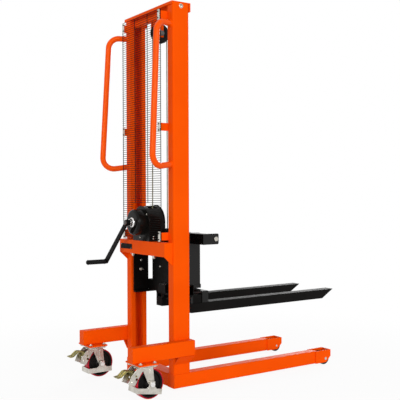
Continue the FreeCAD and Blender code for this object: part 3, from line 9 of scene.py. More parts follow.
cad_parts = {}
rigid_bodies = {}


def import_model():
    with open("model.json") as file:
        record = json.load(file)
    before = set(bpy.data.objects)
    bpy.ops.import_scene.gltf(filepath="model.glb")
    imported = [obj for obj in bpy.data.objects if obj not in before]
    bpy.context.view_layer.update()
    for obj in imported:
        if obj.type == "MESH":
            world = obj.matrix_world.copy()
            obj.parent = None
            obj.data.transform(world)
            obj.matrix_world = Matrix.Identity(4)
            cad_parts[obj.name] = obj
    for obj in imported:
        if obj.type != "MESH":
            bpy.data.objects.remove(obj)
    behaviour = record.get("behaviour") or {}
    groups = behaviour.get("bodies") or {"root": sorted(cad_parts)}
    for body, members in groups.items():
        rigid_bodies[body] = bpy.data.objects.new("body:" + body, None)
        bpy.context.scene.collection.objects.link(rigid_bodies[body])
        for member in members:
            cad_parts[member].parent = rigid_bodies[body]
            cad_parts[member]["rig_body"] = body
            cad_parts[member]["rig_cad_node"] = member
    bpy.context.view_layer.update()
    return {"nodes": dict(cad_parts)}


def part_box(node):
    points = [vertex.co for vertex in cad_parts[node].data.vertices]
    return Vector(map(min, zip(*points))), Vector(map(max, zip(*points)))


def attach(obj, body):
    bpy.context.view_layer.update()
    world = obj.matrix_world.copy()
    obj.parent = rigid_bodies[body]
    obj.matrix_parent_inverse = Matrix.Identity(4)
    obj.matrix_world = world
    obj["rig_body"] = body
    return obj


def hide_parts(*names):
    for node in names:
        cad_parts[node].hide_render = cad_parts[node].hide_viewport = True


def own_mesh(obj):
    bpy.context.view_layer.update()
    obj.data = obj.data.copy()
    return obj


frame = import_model()

# Masts: lipped rails folded from 5 mm strip, open towards each other, on which the whole
# frame is welded up and then coated with orange powder. A plated cup lines the lifting hole.
SIDES = (("left", 1), ("right", -1))
mast_low, mast_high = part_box("mast_left")
MAST_X = (mast_low.x + mast_high.x) / 2
MAST_REAR = mast_low.x
MAST_FRONT = mast_high.x
MAST_IN = mast_low.y
MAST_OUT = mast_high.y
FOLD = 0.0045
SMALL_EASE = 0.0008
LIP_LONG = 0.5
FLAT_TURN = math.radians(1)
SHARP_TURN = math.radians(30)
LATHE_TURN = math.radians(35)
SOFT_TURN = math.radians(40)
MERGE_GAP = 0.00001
NEAR = 0.0001
RELIEF_DEPTH = 0.0004


def pick(piece):
    """Leave only this piece selected and active."""
    bpy.ops.object.select_all(action="DESELECT")
    piece.select_set(True)
    bpy.context.view_layer.objects.active = piece


def new_group(name, inputs, outputs):
    """An empty shader group with named sockets, and its two end nodes."""
    group = bpy.data.node_groups.new(name, "ShaderNodeTree")
    for label, kind in inputs:
        group.interface.new_socket(label, in_out="INPUT", socket_type=kind)
    for label, kind in outputs:
        group.interface.new_socket(label, in_out="OUTPUT", socket_type=kind)
    return group, group.nodes.new("NodeGroupInput"), group.nodes.new("NodeGroupOutput")


def noise(tree, scale, detail, stretch=(1, 1, 1)):
    """A noise value on the piece's own coordinates."""
    place = tree.nodes.new("ShaderNodeTexCoord")
    turn = tree.nodes.new("ShaderNodeMapping")
    turn.inputs["Scale"].default_value = stretch
    texture = tree.nodes.new("ShaderNodeTexNoise")
    texture.inputs["Scale"].default_value = scale
    texture.inputs["Detail"].default_value = detail
    tree.links.new(place.outputs["Object"], turn.inputs["Vector"])
    tree.links.new(turn.outputs["Vector"], texture.inputs["Vector"])
    return texture.outputs["Fac"]


def spread(tree, value, low, high):
    """A value stretched so that low gives 0 and high gives 1, held between them."""
    node = tree.nodes.new("ShaderNodeMapRange")
    node.interpolation_type = "SMOOTHSTEP"
    node.inputs["From Min"].default_value = low
    node.inputs["From Max"].default_value = high
    tree.links.new(value, node.inputs["Value"])
    return node.outputs["Result"]


def blended(tree, kind, amount, first, second, result):
    """Mix two sockets by an amount and send them on; the Mix node numbers its sockets by kind."""
    node = tree.nodes.new("ShaderNodeMix")
    node.data_type = kind
    a, b, out = {"RGBA": (6, 7, 2), "FLOAT": (2, 3, 0)}[kind]
    tree.links.new(amount, node.inputs[0])
    tree.links.new(first, node.inputs[a])
    tree.links.new(second, node.inputs[b])
    tree.links.new(node.outputs[out], result)


COLOUR = "NodeSocketColor"
VALUE = "NodeSocketFloat"
skin_group, ends_in, ends_out = new_group(
    "powder_skin",
    [("Paint", COLOUR), ("Thick paint", COLOUR), ("Smooth", VALUE), ("Dull", VALUE)],
    [("Colour", COLOUR), ("Roughness", VALUE), ("Relief", VALUE)],
)
patches = spread(skin_group, noise(skin_group, scale=5, detail=2), low=0.3, high=0.7)
haze = spread(skin_group, noise(skin_group, scale=40, detail=4), low=0.3, high=0.7)
blended(skin_group, "RGBA", patches, ends_in.outputs["Paint"], ends_in.outputs["Thick paint"],
        ends_out.inputs["Colour"])
blended(skin_group, "FLOAT", haze, ends_in.outputs["Smooth"], ends_in.outputs["Dull"],
        ends_out.inputs["Roughness"])
skin_group.links.new(noise(skin_group, scale=420, detail=2), ends_out.inputs["Relief"])


def new_finish(name, group, colours, values, height, plain):
    """A material whose colour, roughness and fine relief come from a surface group."""
    finish = bpy.data.materials.new(name)
    finish.use_nodes = True
    tree = finish.node_tree
    shader = tree.nodes["Principled BSDF"]
    surface = tree.nodes.new("ShaderNodeGroup")
    surface.node_tree = group
    for label, colour in colours.items():
        surface.inputs[label].default_value = (*colour, 1)
    for label, value in values.items():
        surface.inputs[label].default_value = value
    relief = tree.nodes.new("ShaderNodeBump")
    relief.inputs["Strength"].default_value = height
    relief.inputs["Distance"].default_value = RELIEF_DEPTH
    tree.links.new(surface.outputs["Colour"], shader.inputs["Base Color"])
    tree.links.new(surface.outputs["Roughness"], shader.inputs["Roughness"])
    tree.links.new(surface.outputs["Relief"], relief.inputs["Height"])
    tree.links.new(relief.outputs["Normal"], shader.inputs["Normal"])
    for label, value in plain.items():
        shader.inputs[label].default_value = value
    return finish


orange = new_finish(
    "orange_powder_coat",
    skin_group,
    colours={"Paint": (0.90, 0.088, 0.0010), "Thick paint": (0.86, 0.080, 0.0008)},
    values={"Smooth": 0.34, "Dull": 0.44},
    height=0.10,
    plain={"Specular IOR Level": 0.04, "Specular Tint": (1, 0.5, 0.22, 1)},
)
plate_group, ends_in, ends_out = new_group(
    "plated_skin",
    [("Metal", COLOUR), ("Stain", COLOUR), ("Bright", VALUE), ("Dull", VALUE)],
    [("Colour", COLOUR), ("Roughness", VALUE), ("Relief", VALUE)],
)
clouds = spread(plate_group, noise(plate_group, scale=28, detail=4), low=0.35, high=0.7)
brushed = noise(plate_group, scale=120, detail=3, stretch=(1, 1, 0.25))
streaks = spread(plate_group, brushed, low=0.3, high=0.75)
blended(plate_group, "RGBA", clouds, ends_in.outputs["Metal"], ends_in.outputs["Stain"],
        ends_out.inputs["Colour"])
blended(plate_group, "FLOAT", streaks, ends_in.outputs["Bright"], ends_in.outputs["Dull"],
        ends_out.inputs["Roughness"])
plate_group.links.new(noise(plate_group, scale=900, detail=2), ends_out.inputs["Relief"])
zinc = new_finish(
    "bright_zinc",
    plate_group,
    colours={"Metal": (0.62, 0.595, 0.535), "Stain": (0.47, 0.445, 0.395)},
    values={"Bright": 0.24, "Dull": 0.42},
    height=0.15,
    plain={"Metallic": 1},
)


def fit(piece, name, finish, body, slot, *nodes):
    """Name a finished piece, paint it, and put it on its body in place of the nodes."""
    piece.name = name
    piece.data.name = name
    piece.data.materials.clear()
    piece.data.materials.append(finish)
    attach(piece, body)
    if nodes:
        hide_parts(*nodes)


def ease_edges(piece, width):
    """Round a piece's sharp edges, and keep its flat faces flat in shading."""
    pick(piece)
    ease = piece.modifiers.new("ease", "BEVEL")
    ease.width = width
    ease.segments = 2
    ease.limit_method = "ANGLE"
    ease.angle_limit = SHARP_TURN
    ease.use_clamp_overlap = False
    bpy.ops.object.modifier_apply(modifier="ease")
    bpy.ops.object.shade_smooth_by_angle(angle=SOFT_TURN)
    even = piece.modifiers.new("even", "WEIGHTED_NORMAL")
    even.keep_sharp = True
    bpy.ops.object.modifier_apply(modifier="even")


def merged_copy(node):
    """A copy of a solid with its loose triangles merged into whole faces."""
    pick(frame["nodes"][node])
    bpy.ops.object.duplicate()
    piece = bpy.context.object
    del piece["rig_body"]
    del piece["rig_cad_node"]
    piece.parent = None
    bpy.ops.mesh.customdata_custom_splitnormals_clear()
    bpy.ops.object.mode_set(mode="EDIT")
    bpy.ops.mesh.select_all(action="SELECT")
    bpy.ops.mesh.remove_doubles(threshold=MERGE_GAP)
    bpy.ops.mesh.dissolve_limited(angle_limit=FLAT_TURN)
    bpy.ops.object.mode_set(mode="OBJECT")
    return piece


def choose(piece, kind, test):
    """Select those corners, edges or faces of a piece that pass a test, and go to edit mode."""
    pick(piece)
    bpy.ops.object.mode_set(mode="EDIT")
    bpy.ops.mesh.select_mode(type=kind)
    bpy.ops.mesh.select_all(action="DESELECT")
    bpy.ops.object.mode_set(mode="OBJECT")
    mesh = piece.data
    parts = {"VERT": mesh.vertices, "EDGE": mesh.edges, "FACE": mesh.polygons}[kind]
    for part in parts:
        part.select = test(part)
    bpy.ops.object.mode_set(mode="EDIT")


def round_edges(piece, radius, steps, chosen):
    """Round those edges of a piece whose two ends pass a test."""
    places = [corner.co.copy() for corner in piece.data.vertices]
    choose(piece, "EDGE", lambda edge: chosen(places[edge.vertices[0]], places[edge.vertices[1]]))
    bpy.ops.mesh.bevel(offset=radius, segments=steps, affect="EDGES")
    bpy.ops.object.mode_set(mode="OBJECT")


def outline_chain(points):
    """A line of edges through the points, drawn by extruding one corner, left in edit mode."""
    bpy.ops.object.select_all(action="DESELECT")
    bpy.ops.mesh.primitive_plane_add(size=0.002, location=points[0])
    bpy.ops.object.transform_apply()
    bpy.ops.object.mode_set(mode="EDIT")
    bpy.ops.mesh.select_mode(type="VERT")
    bpy.ops.mesh.select_all(action="SELECT")
    bpy.ops.mesh.merge(type="CENTER")
    for before, after in zip(points, points[1:]):
        step = Vector(after) - Vector(before)
        bpy.ops.mesh.extrude_region_move(TRANSFORM_OT_translate={"value": step})
    return bpy.context.object


def turned(outline, place, axis, steps):
    """A piece turned from an outline of (length, radius) points about an axis at a place."""
    along = Vector(axis)
    out = Vector((1, 0, 0)) if along.z else Vector((0, 0, 1))
    line = [Vector(place) + along * length + out * radius for length, radius in outline]
    if outline[0][1] or outline[-1][1]:
        line.append(line[0])
    piece = outline_chain(line)
    bpy.ops.mesh.select_all(action="SELECT")
    bpy.ops.mesh.spin(steps=steps, angle=math.tau, center=place, axis=along)
    bpy.ops.mesh.select_all(action="SELECT")
    bpy.ops.mesh.remove_doubles(threshold=MERGE_GAP)
    bpy.ops.mesh.normals_make_consistent(inside=False)
    bpy.ops.object.mode_set(mode="OBJECT")
    bpy.ops.object.shade_smooth_by_angle(angle=LATHE_TURN)
    return piece


def lip_corner(a, b):
    """Whether an edge is the long corner where a mast's wall turns into its lip."""
    wall = MAST_FRONT - MAST_X
    return abs(a.z - b.z) > LIP_LONG and all(
        abs(abs(end.x - MAST_X) - wall) < NEAR and abs(abs(end.y) - MAST_IN) < NEAR for end in (a, b))


HOLE_Z = mast_high.z - 0.016
CUP_OUTLINE = [
    (-0.010, 0), (-0.010, 0.0099), (0, 0.0099), (0, 0.0118), (0.0008, 0.0116),
    (0.0010, 0.0104), (0.0004, 0.0094), (-0.0075, 0.0090), (-0.0085, 0.0080), (-0.0085, 0),
]
for side_name, side in SIDES:
    rail = merged_copy(f"mast_{side_name}")
    round_edges(rail, radius=FOLD, steps=4, chosen=lip_corner)
    ease_edges(rail, SMALL_EASE)
    fit(rail, f"mast_rail_{side_name}", orange, "frame", "orange_paint", f"mast_{side_name}")
    cup = turned(CUP_OUTLINE, (MAST_X, side * MAST_OUT, HOLE_Z), (0, side, 0), steps=32)
    fit(cup, f"lifting_cup_{side_name}", zinc, "frame", "zinc")

# Legs and base crossbeam: box tubes welded to the masts' feet, coated with the frame. Each
# leg ends in a bent yoke plate that laps the tube and holds the load roller's pin.
TIP_EASE = 0.0014
LAP_SHORTER = 0.012
BEAM_EASE = 0.002


def eased_copy(node, width, name, finish, slot):
    """Make a copy of a solid with eased edges, which stands for it."""
    body = frame["nodes"][node]["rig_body"]
    piece = merged_copy(node)
    ease_edges(piece, width)
    fit(piece, name, finish, body, slot, node)


for side_name, side in SIDES:
    eased_copy(f"leg_{side_name}", SMALL_EASE, f"leg_tube_{side_name}", orange, "orange_paint")
    tip = merged_copy(f"leg_yoke_{side_name}")
    lap_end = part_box(f"leg_yoke_{side_name}")[0].x
    choose(tip, "VERT", lambda corner: corner.co.x < lap_end + NEAR)
    bpy.ops.transform.translate(value=(LAP_SHORTER, 0, 0))
    bpy.ops.object.mode_set(mode="OBJECT")
    ease_edges(tip, TIP_EASE)
    fit(tip, f"leg_tip_{side_name}", orange, "frame", "orange_paint", f"leg_yoke_{side_name}")
eased_copy("base_crossbeam", BEAM_EASE, "base_beam", orange, "orange_paint")

# Load rollers: black nylon wheels on zinc-plated pins in the leg tips. The pins have a
# round head outside and are riveted flush inside.
nylon = new_finish(
    "black_nylon",
    skin_group,
    colours={"Paint": (0.006, 0.0056, 0.0052), "Thick paint": (0.010, 0.009, 0.0085)},
    values={"Smooth": 0.38, "Dull": 0.55},
    height=0.1,
    plain={"Specular IOR Level": 0.2},
)
ROLLER_EASE = 0.002
PIN_EASE = 0.0012
for side_name, side in SIDES:
    eased_copy(f"load_roller_{side_name}", ROLLER_EASE, f"leg_roller_{side_name}", nylon,
               "black_rubber")
eased_copy("load_roller_pins", PIN_EASE, "leg_roller_pins", zinc, "zinc")

# Outriggers: box tubes welded to the masts' outer sides, with a sloping gusset below and a
# caster mount plate under the rear end.
for side_name, side in SIDES:
    eased_copy(f"outrigger_{side_name}", SMALL_EASE, f"outrigger_tube_{side_name}", orange,
               "orange_paint")

# Top crossbeam: a folded plate over both masts with a short lip at the rear and a flanged web
# between them, and the two cheek plates of the pulley bracket welded under it.
LIP_TALL = 0.010
LIP_ROOM = 0.0002
FACING = 0.9


def cut_across(piece, place, across):
    """Cut a piece's faces along a plane without parting it."""
    pick(piece)
    bpy.ops.object.mode_set(mode="EDIT")
    bpy.ops.mesh.select_all(action="SELECT")
    bpy.ops.mesh.bisect(plane_co=place, plane_no=across)
    bpy.ops.object.mode_set(mode="OBJECT")


lip_front = MAST_REAR - LIP_ROOM
beam = merged_copy("top_crossbeam")
cut_across(beam, (lip_front, 0, 0), (1, 0, 0))
choose(beam, "FACE", lambda face: face.normal.z < -FACING and face.center.x < lip_front)
bpy.ops.mesh.extrude_region_move(TRANSFORM_OT_translate={"value": (0, 0, -LIP_TALL)})
bpy.ops.object.mode_set(mode="OBJECT")
ease_edges(beam, SMALL_EASE)
fit(beam, "top_beam", orange, "frame", "orange_paint", "top_crossbeam")
eased_copy("pulley_bracket", SMALL_EASE, "pulley_cheeks", orange, "orange_paint")

# Sheave: a black cast wheel with a groove for the rope, which turns on a bolt between the two
# cheeks. The bolt's dark steel finish is painted shade.
cast_black = new_finish(
    "painted_casting",
    skin_group,
    colours={"Paint": (0.0040, 0.0036, 0.0032), "Thick paint": (0.0070, 0.0062, 0.0055)},
    values={"Smooth": 0.35, "Dull": 0.6},
    height=0.4,
    plain={"Specular IOR Level": 0.12},
)
eased_copy("sheave", SMALL_EASE, "rope_sheave", cast_black, "cast_black")
dark_steel = new_finish(
    "dark_steel_finish",
    plate_group,
    colours={"Metal": (0.13, 0.125, 0.12), "Stain": (0.08, 0.075, 0.07)},
    values={"Bright": 0.26, "Dull": 0.42},
    height=0.15,
    plain={"Metallic": 1},
)
BOLT_EASE = 0.0010
# The bolt takes the dark steel finish as painted shade.
eased_copy("pulley_bolt", BOLT_EASE, "sheave_bolt", dark_steel, "zinc")

# Winch crossbeam: a folded channel behind the masts, closed by side gussets. A blank black
# plate is riveted on its rear face, and the winch's bolts come through with nuts below.
black = new_finish(
    "black_powder_coat",
    skin_group,
    colours={"Paint": (0.0024, 0.0020, 0.0017), "Thick paint": (0.0038, 0.0032, 0.0028)},
    values={"Smooth": 0.48, "Dull": 0.62},
    height=0.12,
    plain={"Specular IOR Level": 0.07},
)


def set_copy(model, place, facing):
    """A copy of a model that was made facing up, turned to a direction and set in place."""
    pick(model)
    bpy.ops.object.duplicate()
    piece = bpy.context.object
    piece.rotation_euler = Vector((0, 0, 1)).rotation_difference(Vector(facing)).to_euler()
    piece.location = place
    bpy.ops.object.transform_apply()
    return piece


def joined(pieces):
    """The pieces as one object."""
    bpy.ops.object.select_all(action="DESELECT")
    for piece in pieces:
        piece.select_set(True)
    bpy.context.view_layer.objects.active = pieces[0]
    bpy.ops.object.join()
    return pieces[0]


def pan_head(radius, height):
    """A low round screw or rivet head, made facing up."""
    return turned([(-height * 0.3, 0), (-height * 0.3, radius), (height * 0.35, radius),
                   (height * 0.75, radius * 0.82), (height, radius * 0.45), (height, 0)],
                  (0, 0, 0), (0, 0, 1), steps=16)


def hex_bolt(flats, height, stub):
    """A hexagon nut on a washer with the bolt's end standing out of it, made facing up."""
    bpy.ops.object.select_all(action="DESELECT")
    bpy.ops.mesh.primitive_cylinder_add(vertices=6, radius=flats / math.sqrt(3), depth=height,
                                        location=(0, 0, height * 0.5 + flats * 0.12))
    nut = bpy.context.object
    bpy.ops.object.transform_apply()
    choose(nut, "FACE", lambda face: abs(face.normal.z) > FACING)
    bpy.ops.mesh.inset(thickness=flats * 0.07, depth=flats * 0.05)
    bpy.ops.object.mode_set(mode="OBJECT")
    top = height + flats * 0.12
    washer = turned([(-0.0005, flats * 0.3), (-0.0005, flats * 0.98), (flats * 0.08, flats * 0.98),
                     (flats * 0.12, flats * 0.92), (flats * 0.12, flats * 0.3)],
                    (0, 0, 0), (0, 0, 1), steps=24)
    shank = turned([(0, 0), (0, flats * 0.3), (top + stub * 0.8, flats * 0.3),
                    (top + stub, flats * 0.22), (top + stub, 0)], (0, 0, 0), (0, 0, 1), steps=16)
    return joined([nut, washer, shank])


SHEET_EASE = 0.0012
PLATE_EASE = 0.0004
RIVET_IN = 0.008
RIVET_UP = 0.005
NUT_AHEAD = 0.0145
NUT_ASIDE = 0.111
NUT_BELOW = 0.072
REARWARD = (-1, 0, 0)
eased_copy("winch_crossbeam", SHEET_EASE, "winch_beam", orange, "orange_paint")
eased_copy("name_plate", PLATE_EASE, "blank_plate", black, "black_paint")
plate_low, plate_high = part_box("name_plate")
rivet = pan_head(radius=0.0026, height=0.0012)
rivets = [
    set_copy(rivet, (plate_low.x, plate_low.y + RIVET_IN, plate_low.z + RIVET_UP), REARWARD),
    set_copy(rivet, (plate_low.x, plate_high.y - RIVET_IN, plate_high.z - RIVET_UP), REARWARD),
]
fit(joined(rivets), "plate_rivets", zinc, "frame", "zinc")
bpy.data.objects.remove(rivet)
beam_low, beam_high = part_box("winch_crossbeam")
nut = hex_bolt(flats=0.016, height=0.010, stub=0.004)
nuts = [
    set_copy(nut, (beam_low.x + NUT_AHEAD, side * NUT_ASIDE, beam_high.z - NUT_BELOW), (0, 0, -1))
    for side_name, side in SIDES
]
fit(joined(nuts), "winch_bolt_nuts", zinc, "frame", "zinc")
bpy.data.objects.remove(nut)

# Winch: arched bearing plates on a foot plate, a folded shroud over the drum and a pressed
# gear cover with a deep rounded rim, all painted gloss black and held by small screws.
gloss_black = new_finish(
    "gloss_black_paint",
    skin_group,
    colours={"Paint": (0.0055, 0.0048, 0.0042), "Thick paint": (0.0080, 0.0070, 0.0062)},
    values={"Smooth": 0.10, "Dull": 0.17},
    height=0.06,
    plain={"Specular IOR Level": 0.10},
)
eased_copy("winch_frame", SHEET_EASE, "winch_plates", gloss_black, "black_paint")
eased_copy("winch_shroud", SMALL_EASE, "winch_hood", gloss_black, "black_paint")
cover_low, cover_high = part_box("gear_cover")
WINCH_Z = (cover_low.z + cover_high.z) / 2
COVER_OUTLINE = [
    (0, 0.0665), (0, 0.0685), (0.0420, 0.0685), (0.0462, 0.0677), (0.0498, 0.0654),
    (0.0524, 0.0620), (0.0537, 0.0575), (0.0540, 0.0520), (0.0545, 0.0300), (0.0545, 0.0240),
    (0.0538, 0.0205), (0.0522, 0.0205), (0.0522, 0.0300), (0.0518, 0.0520), (0.0505, 0.0590),
    (0.0470, 0.0645), (0.0420, 0.0665),
]
cup = turned(COVER_OUTLINE, (cover_high.x, 0, WINCH_Z), REARWARD, steps=64)
fit(cup, "gear_cup", gloss_black, "frame", "black_paint", "gear_cover")
PLATE_SCREWS = ((-0.060, 0.042), (0.060, 0.042), (0.010, -0.081))
HOOD_SCREWS = (0.007, 0.019)
winch_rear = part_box("winch_frame")[0].x
hood_low, hood_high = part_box("winch_shroud")
hood_screw_x = hood_high.x - 0.065
screw = pan_head(radius=0.0045, height=0.0032)
screws = [
    set_copy(screw, (winch_rear, across, WINCH_Z + up), REARWARD) for across, up in PLATE_SCREWS
]
screws += [
    set_copy(screw, (hood_screw_x, side * hood_high.y, hood_low.z + up), (0, side, 0))
    for side_name, side in SIDES for up in HOOD_SCREWS
]
fit(joined(screws), "winch_screws", zinc, "frame", "zinc")
bpy.data.objects.remove(screw)

# Drum, gears and the rope wound on the drum: machined steel inside the winch, with the wire
# rope laid turn beside turn between the drum's flanges.
steel = new_finish(
    "machined_steel",
    plate_group,
    colours={"Metal": (0.42, 0.42, 0.42), "Stain": (0.30, 0.30, 0.29)},
    values={"Bright": 0.22, "Dull": 0.36},
    height=0.1,
    plain={"Metallic": 1},
)
DRUM_EASE = 0.0005
TOOTH_EASE = 0.0002
eased_copy("winch_drum", DRUM_EASE, "rope_drum", steel, "steel")
for number in (1, 2):
    eased_copy(f"planet_gear_{number}", TOOTH_EASE, f"planet_wheel_{number}", steel, "steel")
rope_steel = new_finish(
    "galvanised_strand",
    plate_group,
    colours={"Metal": (0.25, 0.235, 0.15), "Stain": (0.15, 0.14, 0.085)},
    values={"Bright": 0.3, "Dull": 0.5},
    height=0.1,
    plain={"Metallic": 1},
)
coil_low, coil_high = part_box("rope_winding")
ROPE_R = 0.003
ROUND_TURN = math.radians(50)
COIL_R = 0.033
COIL_TURNS = 10


def screw_swept(piece, axis, pitch, turns, steps):
    """Sweep a piece's outline along a screw line, cap its ends and shade it round."""
    pick(piece)
    sweep = piece.modifiers.new("sweep", "SCREW")
    sweep.axis = axis
    sweep.screw_offset = pitch
    sweep.iterations = turns
    sweep.steps = sweep.render_steps = steps
    bpy.ops.object.modifier_apply(modifier="sweep")
    bpy.ops.object.mode_set(mode="EDIT")
    bpy.ops.mesh.select_all(action="SELECT")
    bpy.ops.mesh.fill_holes(sides=0)
    bpy.ops.mesh.normals_make_consistent(inside=False)
    bpy.ops.object.mode_set(mode="OBJECT")
    bpy.ops.object.shade_smooth_by_angle(angle=ROUND_TURN)


bpy.ops.object.select_all(action="DESELECT")
bpy.ops.mesh.primitive_circle_add(vertices=8, radius=ROPE_R, location=(0, 0, COIL_R),
                                  rotation=(math.radians(90), 0, 0))
coil = bpy.context.object
bpy.ops.object.transform_apply()
coil_pitch = (coil_high.x - coil_low.x - 2 * ROPE_R) / COIL_TURNS
screw_swept(coil, "X", coil_pitch, COIL_TURNS, steps=28)
coil.location = (coil_low.x + ROPE_R, 0, WINCH_Z)
bpy.ops.object.transform_apply()
fit(coil, "wound_rope", rope_steel, "drum", "wire_rope", "rope_winding")

# Crank: a polished boss on the gear shaft, a flat black arm keyed to it, and a turned plastic
# grip that spins on the arm's pin.
chrome = new_finish(
    "polished_chrome",
    plate_group,
    colours={"Metal": (0.88, 0.87, 0.85), "Stain": (0.78, 0.77, 0.75)},
    values={"Bright": 0.20, "Dull": 0.30},
    height=0.03,
    plain={"Metallic": 1},
)
grip_plastic = new_finish(
    "grip_plastic",
    skin_group,
    colours={"Paint": (0.0045, 0.0045, 0.0045), "Thick paint": (0.0070, 0.0070, 0.0070)},
    values={"Smooth": 0.4, "Dull": 0.52},
    height=0.25,
    plain={"Specular IOR Level": 0.08},
)


def draw_in(piece, share, chosen):
    """Shrink the chosen corners of a piece towards the winch's axis."""
    choose(piece, "VERT", lambda corner: chosen(corner.co))
    bpy.ops.transform.resize(value=(1, share, share), center_override=(0, 0, WINCH_Z))
    bpy.ops.object.mode_set(mode="OBJECT")


COLLAR_OUTLINE = [
    (0.0538, 0.0206), (0.0538, 0.0262), (0.0552, 0.0262),
    (0.0578, 0.0250), (0.0596, 0.0228), (0.0602, 0.0206),
]
collar = turned(COLLAR_OUTLINE, (cover_high.x, 0, WINCH_Z), REARWARD, steps=48)
fit(collar, "boss_collar", chrome, "frame", "chrome")
ARM_REAR = MAST_X - 0.189
ARM_FRONT = MAST_X - 0.178
ARM_EASE = 0.0015
NUT_SHARE = 0.7
HUB_SHARE = 0.8
HUB_R = 0.0195
BAR_FACE = 0.0008
BAR_WIDER = 0.003
boss = merged_copy("crank_shaft")
draw_in(boss, NUT_SHARE, lambda co: co.x < ARM_FRONT)
ease_edges(boss, BOLT_EASE)
fit(boss, "crank_boss", chrome, "crank", "chrome", "crank_shaft")
boss.data.materials.append(dark_steel)
for face in boss.data.polygons:
    face.material_index = int(face.center.x < ARM_REAR)
arm = merged_copy("crank_arm")
draw_in(arm, HUB_SHARE, lambda co: math.hypot(co.y, co.z - WINCH_Z) < HUB_R)
choose(arm, "FACE", lambda face: (
    ARM_REAR < face.center.x < ARM_FRONT and abs(face.normal.x) < 0.5 and face.area > BAR_FACE))
bpy.ops.transform.shrink_fatten(value=BAR_WIDER)
bpy.ops.object.mode_set(mode="OBJECT")
ease_edges(arm, ARM_EASE)
fit(arm, "crank_bar", black, "crank", "black_paint", "crank_arm")
grip_low, grip_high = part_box("crank_grip")
grip_mid = (grip_low + grip_high) / 2
GRIP_R = (grip_high.y - grip_low.y) / 2
GRIP_LONG = grip_high.x - grip_low.x
GRIP_BORE = 0.0065
GROOVES = 7
GROOVE_STEP = 0.0115
FIRST_GROOVE = 0.016
GROOVE_OUTLINE = [(0, 0.91), (0.0010, 0.86), (0.0025, 0.86), (0.0035, 0.92)]
grip_line = [
    (0.0, GRIP_BORE), (0.0, GRIP_R * 0.80), (0.0020, GRIP_R * 0.96), (0.0045, GRIP_R),
    (0.0070, GRIP_R), (0.0090, GRIP_R * 0.88),
]
for groove in range(GROOVES):
    start = FIRST_GROOVE + groove * GROOVE_STEP
    grip_line += [(start + along, GRIP_R * share) for along, share in GROOVE_OUTLINE]
grip_line += [
    (GRIP_LONG - 0.0070, GRIP_R * 0.90), (GRIP_LONG - 0.0050, GRIP_R),
    (GRIP_LONG - 0.0020, GRIP_R * 0.98), (GRIP_LONG, GRIP_R * 0.85), (GRIP_LONG, GRIP_BORE),
]
sleeve = turned(grip_line, (grip_high.x, grip_mid.y, grip_mid.z), REARWARD, steps=32)
fit(sleeve, "grip_sleeve", grip_plastic, "grip", "grip_plastic", "crank_grip")

# Mesh guard: straight black-coated wires welded across four uprights, open below round the
# winch. Orange tabs on the masts carry it, and plated straps with two screws each hold it.
guard_low, guard_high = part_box("mesh_guard")
GUARD_ROWS = 104
NOTCH_ROWS = 17
NOTCH_HALF = 0.093
INNER_UPRIGHT = 0.0665
ROW_R = 0.00125
UPRIGHT_R = 0.0019
EDGE_IN = 0.0015
WIRE_SHORT = 0.0004
row_x = guard_low.x + ROW_R
upright_x = row_x + ROW_R + UPRIGHT_R * 0.6
first_row = guard_low.z + EDGE_IN
row_step = (guard_high.z - guard_low.z - 2 * EDGE_IN) / (GUARD_ROWS - 1)


def repeat_along(piece, number, step):
    """Repeat a piece's mesh along a line."""
    rows = piece.modifiers.new("rows", "ARRAY")
    rows.count = number
    rows.use_relative_offset = False
    rows.use_constant_offset = True
    rows.constant_offset_displace = step
    bpy.ops.object.modifier_apply(modifier="rows")


def guard_wire(start, end, radius, number=1, step=0):
    """A straight wire with cut and eased ends, repeated upwards."""
    run = Vector(end) - Vector(start)
    bpy.ops.object.select_all(action="DESELECT")
    bpy.ops.mesh.primitive_cylinder_add(
        vertices=8, radius=radius, depth=run.length, location=(Vector(start) + Vector(end)) / 2,
        rotation=run.to_track_quat("Z", "Y").to_euler())
    wire = bpy.context.object
    bpy.ops.object.transform_apply()
    choose(wire, "FACE", lambda face: abs(face.normal.dot(run.normalized())) > FACING)
    bpy.ops.mesh.inset(thickness=radius * 0.35, depth=radius * 0.25)
    bpy.ops.object.mode_set(mode="OBJECT")
    if number > 1:
        repeat_along(wire, number, (0, 0, step))
    bpy.ops.object.shade_smooth_by_angle(angle=ROUND_TURN)
    return wire


notch_z = first_row + NOTCH_ROWS * row_step
row_end = guard_high.y - WIRE_SHORT
upright_top = guard_high.z - WIRE_SHORT
wires = [guard_wire((row_x, guard_low.y + WIRE_SHORT, notch_z), (row_x, row_end, notch_z),
                    ROW_R, GUARD_ROWS - NOTCH_ROWS, row_step)]
for side_name, side in SIDES:
    edge = side * (guard_high.y - EDGE_IN)
    inner = side * INNER_UPRIGHT
    wires.append(guard_wire((row_x, side * NOTCH_HALF, first_row), (row_x, side * row_end, first_row),
                            ROW_R, NOTCH_ROWS, row_step))
    wires.append(guard_wire((upright_x, edge, guard_low.z + WIRE_SHORT),
                            (upright_x, edge, upright_top), UPRIGHT_R))
    wires.append(guard_wire((upright_x, inner, notch_z - ROW_R),
                            (upright_x, inner, upright_top), UPRIGHT_R))
fit(joined(wires), "guard_wires", black, "frame", "black_paint", "mesh_guard")
eased_copy("guard_brackets", SMALL_EASE, "guard_tabs", orange, "orange_paint")
clip_low, clip_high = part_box("guard_clips")
STRAP_TALL = 0.052
STRAP_WIDE = 0.019
STRAP_IN = 0.178
STRAP_PLATE = 0.0028
STRAP_EASE = 0.0006
STRAP_MIDDLE = 0.585
STRAP_SCREWS = (-0.016, 0.016)
SCREW_IN = 0.007
LUG_LOW = 0.010
LUG_HIGH = 0.018
LUG_FROM = 0.014
LUG_TALL = 0.006
strap_levels = (
    clip_low.z + STRAP_TALL / 2, clip_low.z + STRAP_MIDDLE, clip_high.z - STRAP_TALL / 2,
)


